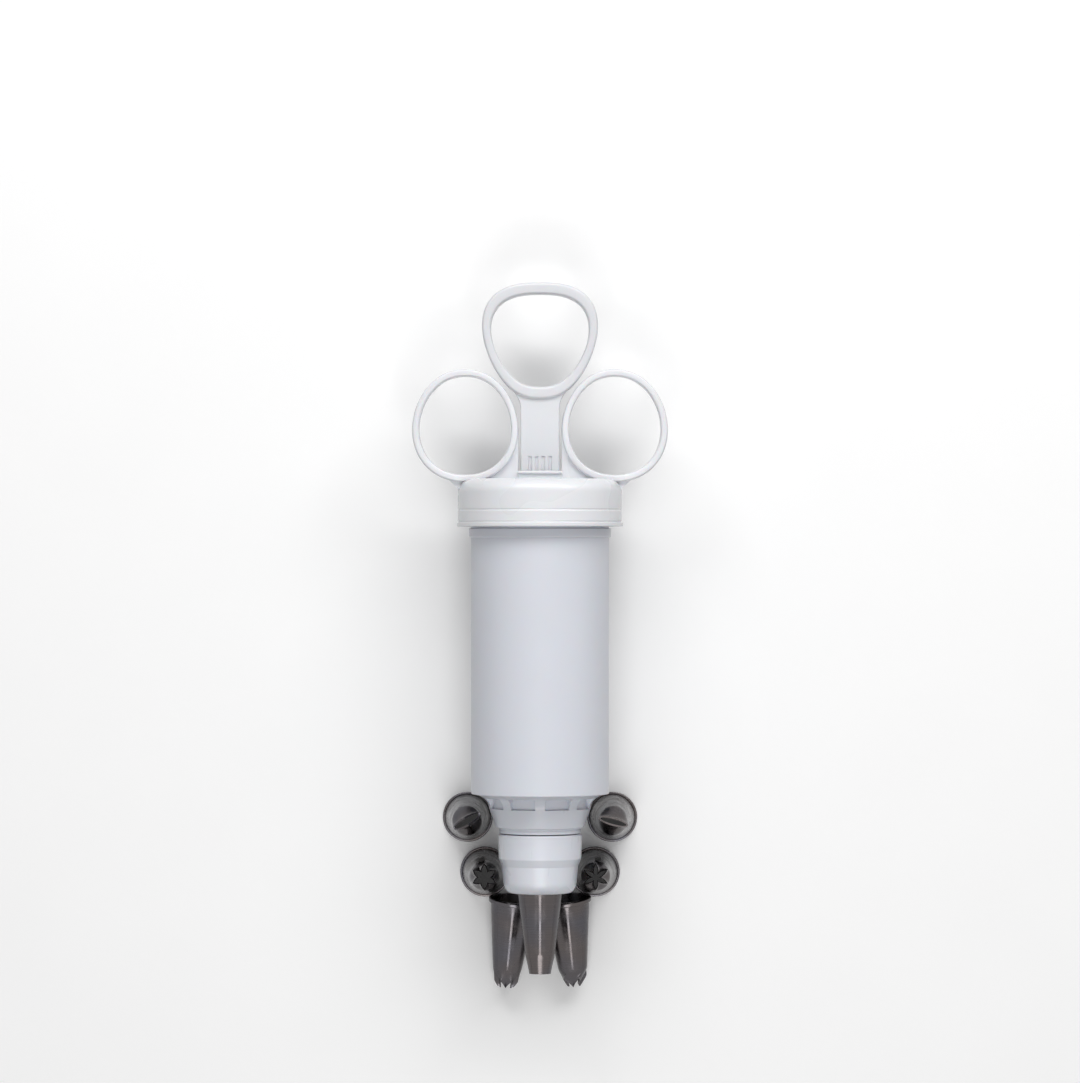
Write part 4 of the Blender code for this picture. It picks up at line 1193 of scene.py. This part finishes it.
class SYRINGE_OT_stage(Operator):
    """Lays the floor, hangs the lamps and sets the camera straight above the syringe"""

    bl_idname = "syringe.make_stage"
    bl_label = "Make stage"

    def add_lamp(self, name, place, size, power):
        """Hangs a soft lamp that faces the syringe's middle."""
        light = bpy.data.lights.new(name, "AREA")
        light.shape = "RECTANGLE"
        light.size, light.size_y = size
        light.energy = power
        lamp = bpy.data.objects.new(name, light)
        bpy.context.scene.collection.objects.link(lamp)
        lamp.location = place
        lamp.rotation_euler = (-Vector(place)).to_track_quat("-Z", "Y").to_euler()

    def execute(self, context):
        stage = settings()
        work_on(None)
        bpy.ops.mesh.primitive_plane_add(size=FLOOR_SIZE, location=(0, 0, 0))
        floor = name_piece(context.object, "floor")
        paper = Finish(bpy.data.materials.new("floor paper"))
        mottle = paper.noise(paper.place(), MOTTLE_SCALE, 3.0)
        tone = paper.between(mottle, *MOTTLE_RANGE)
        shown = paper.shown()
        dull = shaded(stage.floor_colour, MOTTLE_DARK_SHARE)
        white = paper.blend(tone, dull, shaded(stage.floor_colour, MOTTLE_PALE_SHARE))
        unlit = shaded(PLAIN_WHITE, 0.0)
        paper.set(
            base_color=paper.blend(shown, shaded(stage.floor_colour, stage.floor_bounce), white),
            roughness=FLOOR_ROUGHNESS,
            emission_color=paper.blend(shown, unlit, shaded(PLAIN_WHITE, stage.floor_lift)),
            emission_strength=1.0,
        )
        floor.data.materials.append(paper.owner)

        self.add_lamp("key_lamp", KEY_LAMP_PLACE, KEY_LAMP_SIZE, stage.key_power)
        self.add_lamp("fill_lamp", FILL_LAMP_PLACE, FILL_LAMP_SIZE, stage.fill_power)

        sky = Finish(bpy.data.worlds.new("studio"), "Background")
        strength = sky.between(sky.shown(), 0.0, 1.0, stage.sky_strength, 1.0)
        sky.set(color=shaded(PLAIN_WHITE, 1.0), strength=strength)
        context.scene.world = sky.owner

        camera_data = bpy.data.cameras.new("camera")
        camera_data.lens = stage.lens
        camera = bpy.data.objects.new("camera", camera_data)
        context.scene.collection.objects.link(camera)
        camera.location = (0.0, stage.camera_aim, AXIS_HEIGHT + stage.camera_distance)
        context.scene.camera = camera
        context.scene.view_settings.view_transform = "Standard"
        return {"FINISHED"}


STEPS = (
    "make_barrel",
    "make_ring_cap",
    "make_plunger",
    "make_piston",
    "make_collar",
    "make_nozzles",
    "make_stage",
)


class SYRINGE_PT_pieces(Panel):
    """Lists the settings and the steps that make the syringe"""

    bl_label = "Syringe"
    bl_space_type = "VIEW_3D"
    bl_region_type = "UI"
    bl_category = "Syringe"

    def draw(self, context):
        for group in (sizes(), finishes(), settings()):
            box = self.layout.box()
            for name in group.__annotations__:
                box.prop(group, name)
        for step in STEPS:
            self.layout.operator(f"syringe.{step}")


CLASSES = (
    SyringeSizes,
    SyringeFinishes,
    StageSettings,
    SYRINGE_OT_barrel,
    SYRINGE_OT_ring_cap,
    SYRINGE_OT_plunger,
    SYRINGE_OT_piston,
    SYRINGE_OT_collar,
    SYRINGE_OT_nozzles,
    SYRINGE_OT_stage,
    SYRINGE_PT_pieces,
)


def register():
    for item in CLASSES:
        bpy.utils.register_class(item)
    bpy.types.Scene.syringe_sizes = PointerProperty(type=SyringeSizes)
    bpy.types.Scene.syringe_finishes = PointerProperty(type=SyringeFinishes)
    bpy.types.Scene.syringe_stage = PointerProperty(type=StageSettings)


def unregister():
    del bpy.types.Scene.syringe_stage
    del bpy.types.Scene.syringe_finishes
    del bpy.types.Scene.syringe_sizes
    for item in reversed(CLASSES):
        bpy.utils.unregister_class(item)


def main():
    register()
    for step in STEPS:
        getattr(bpy.ops.syringe, step)()


if __name__ == "__main__":
    main()
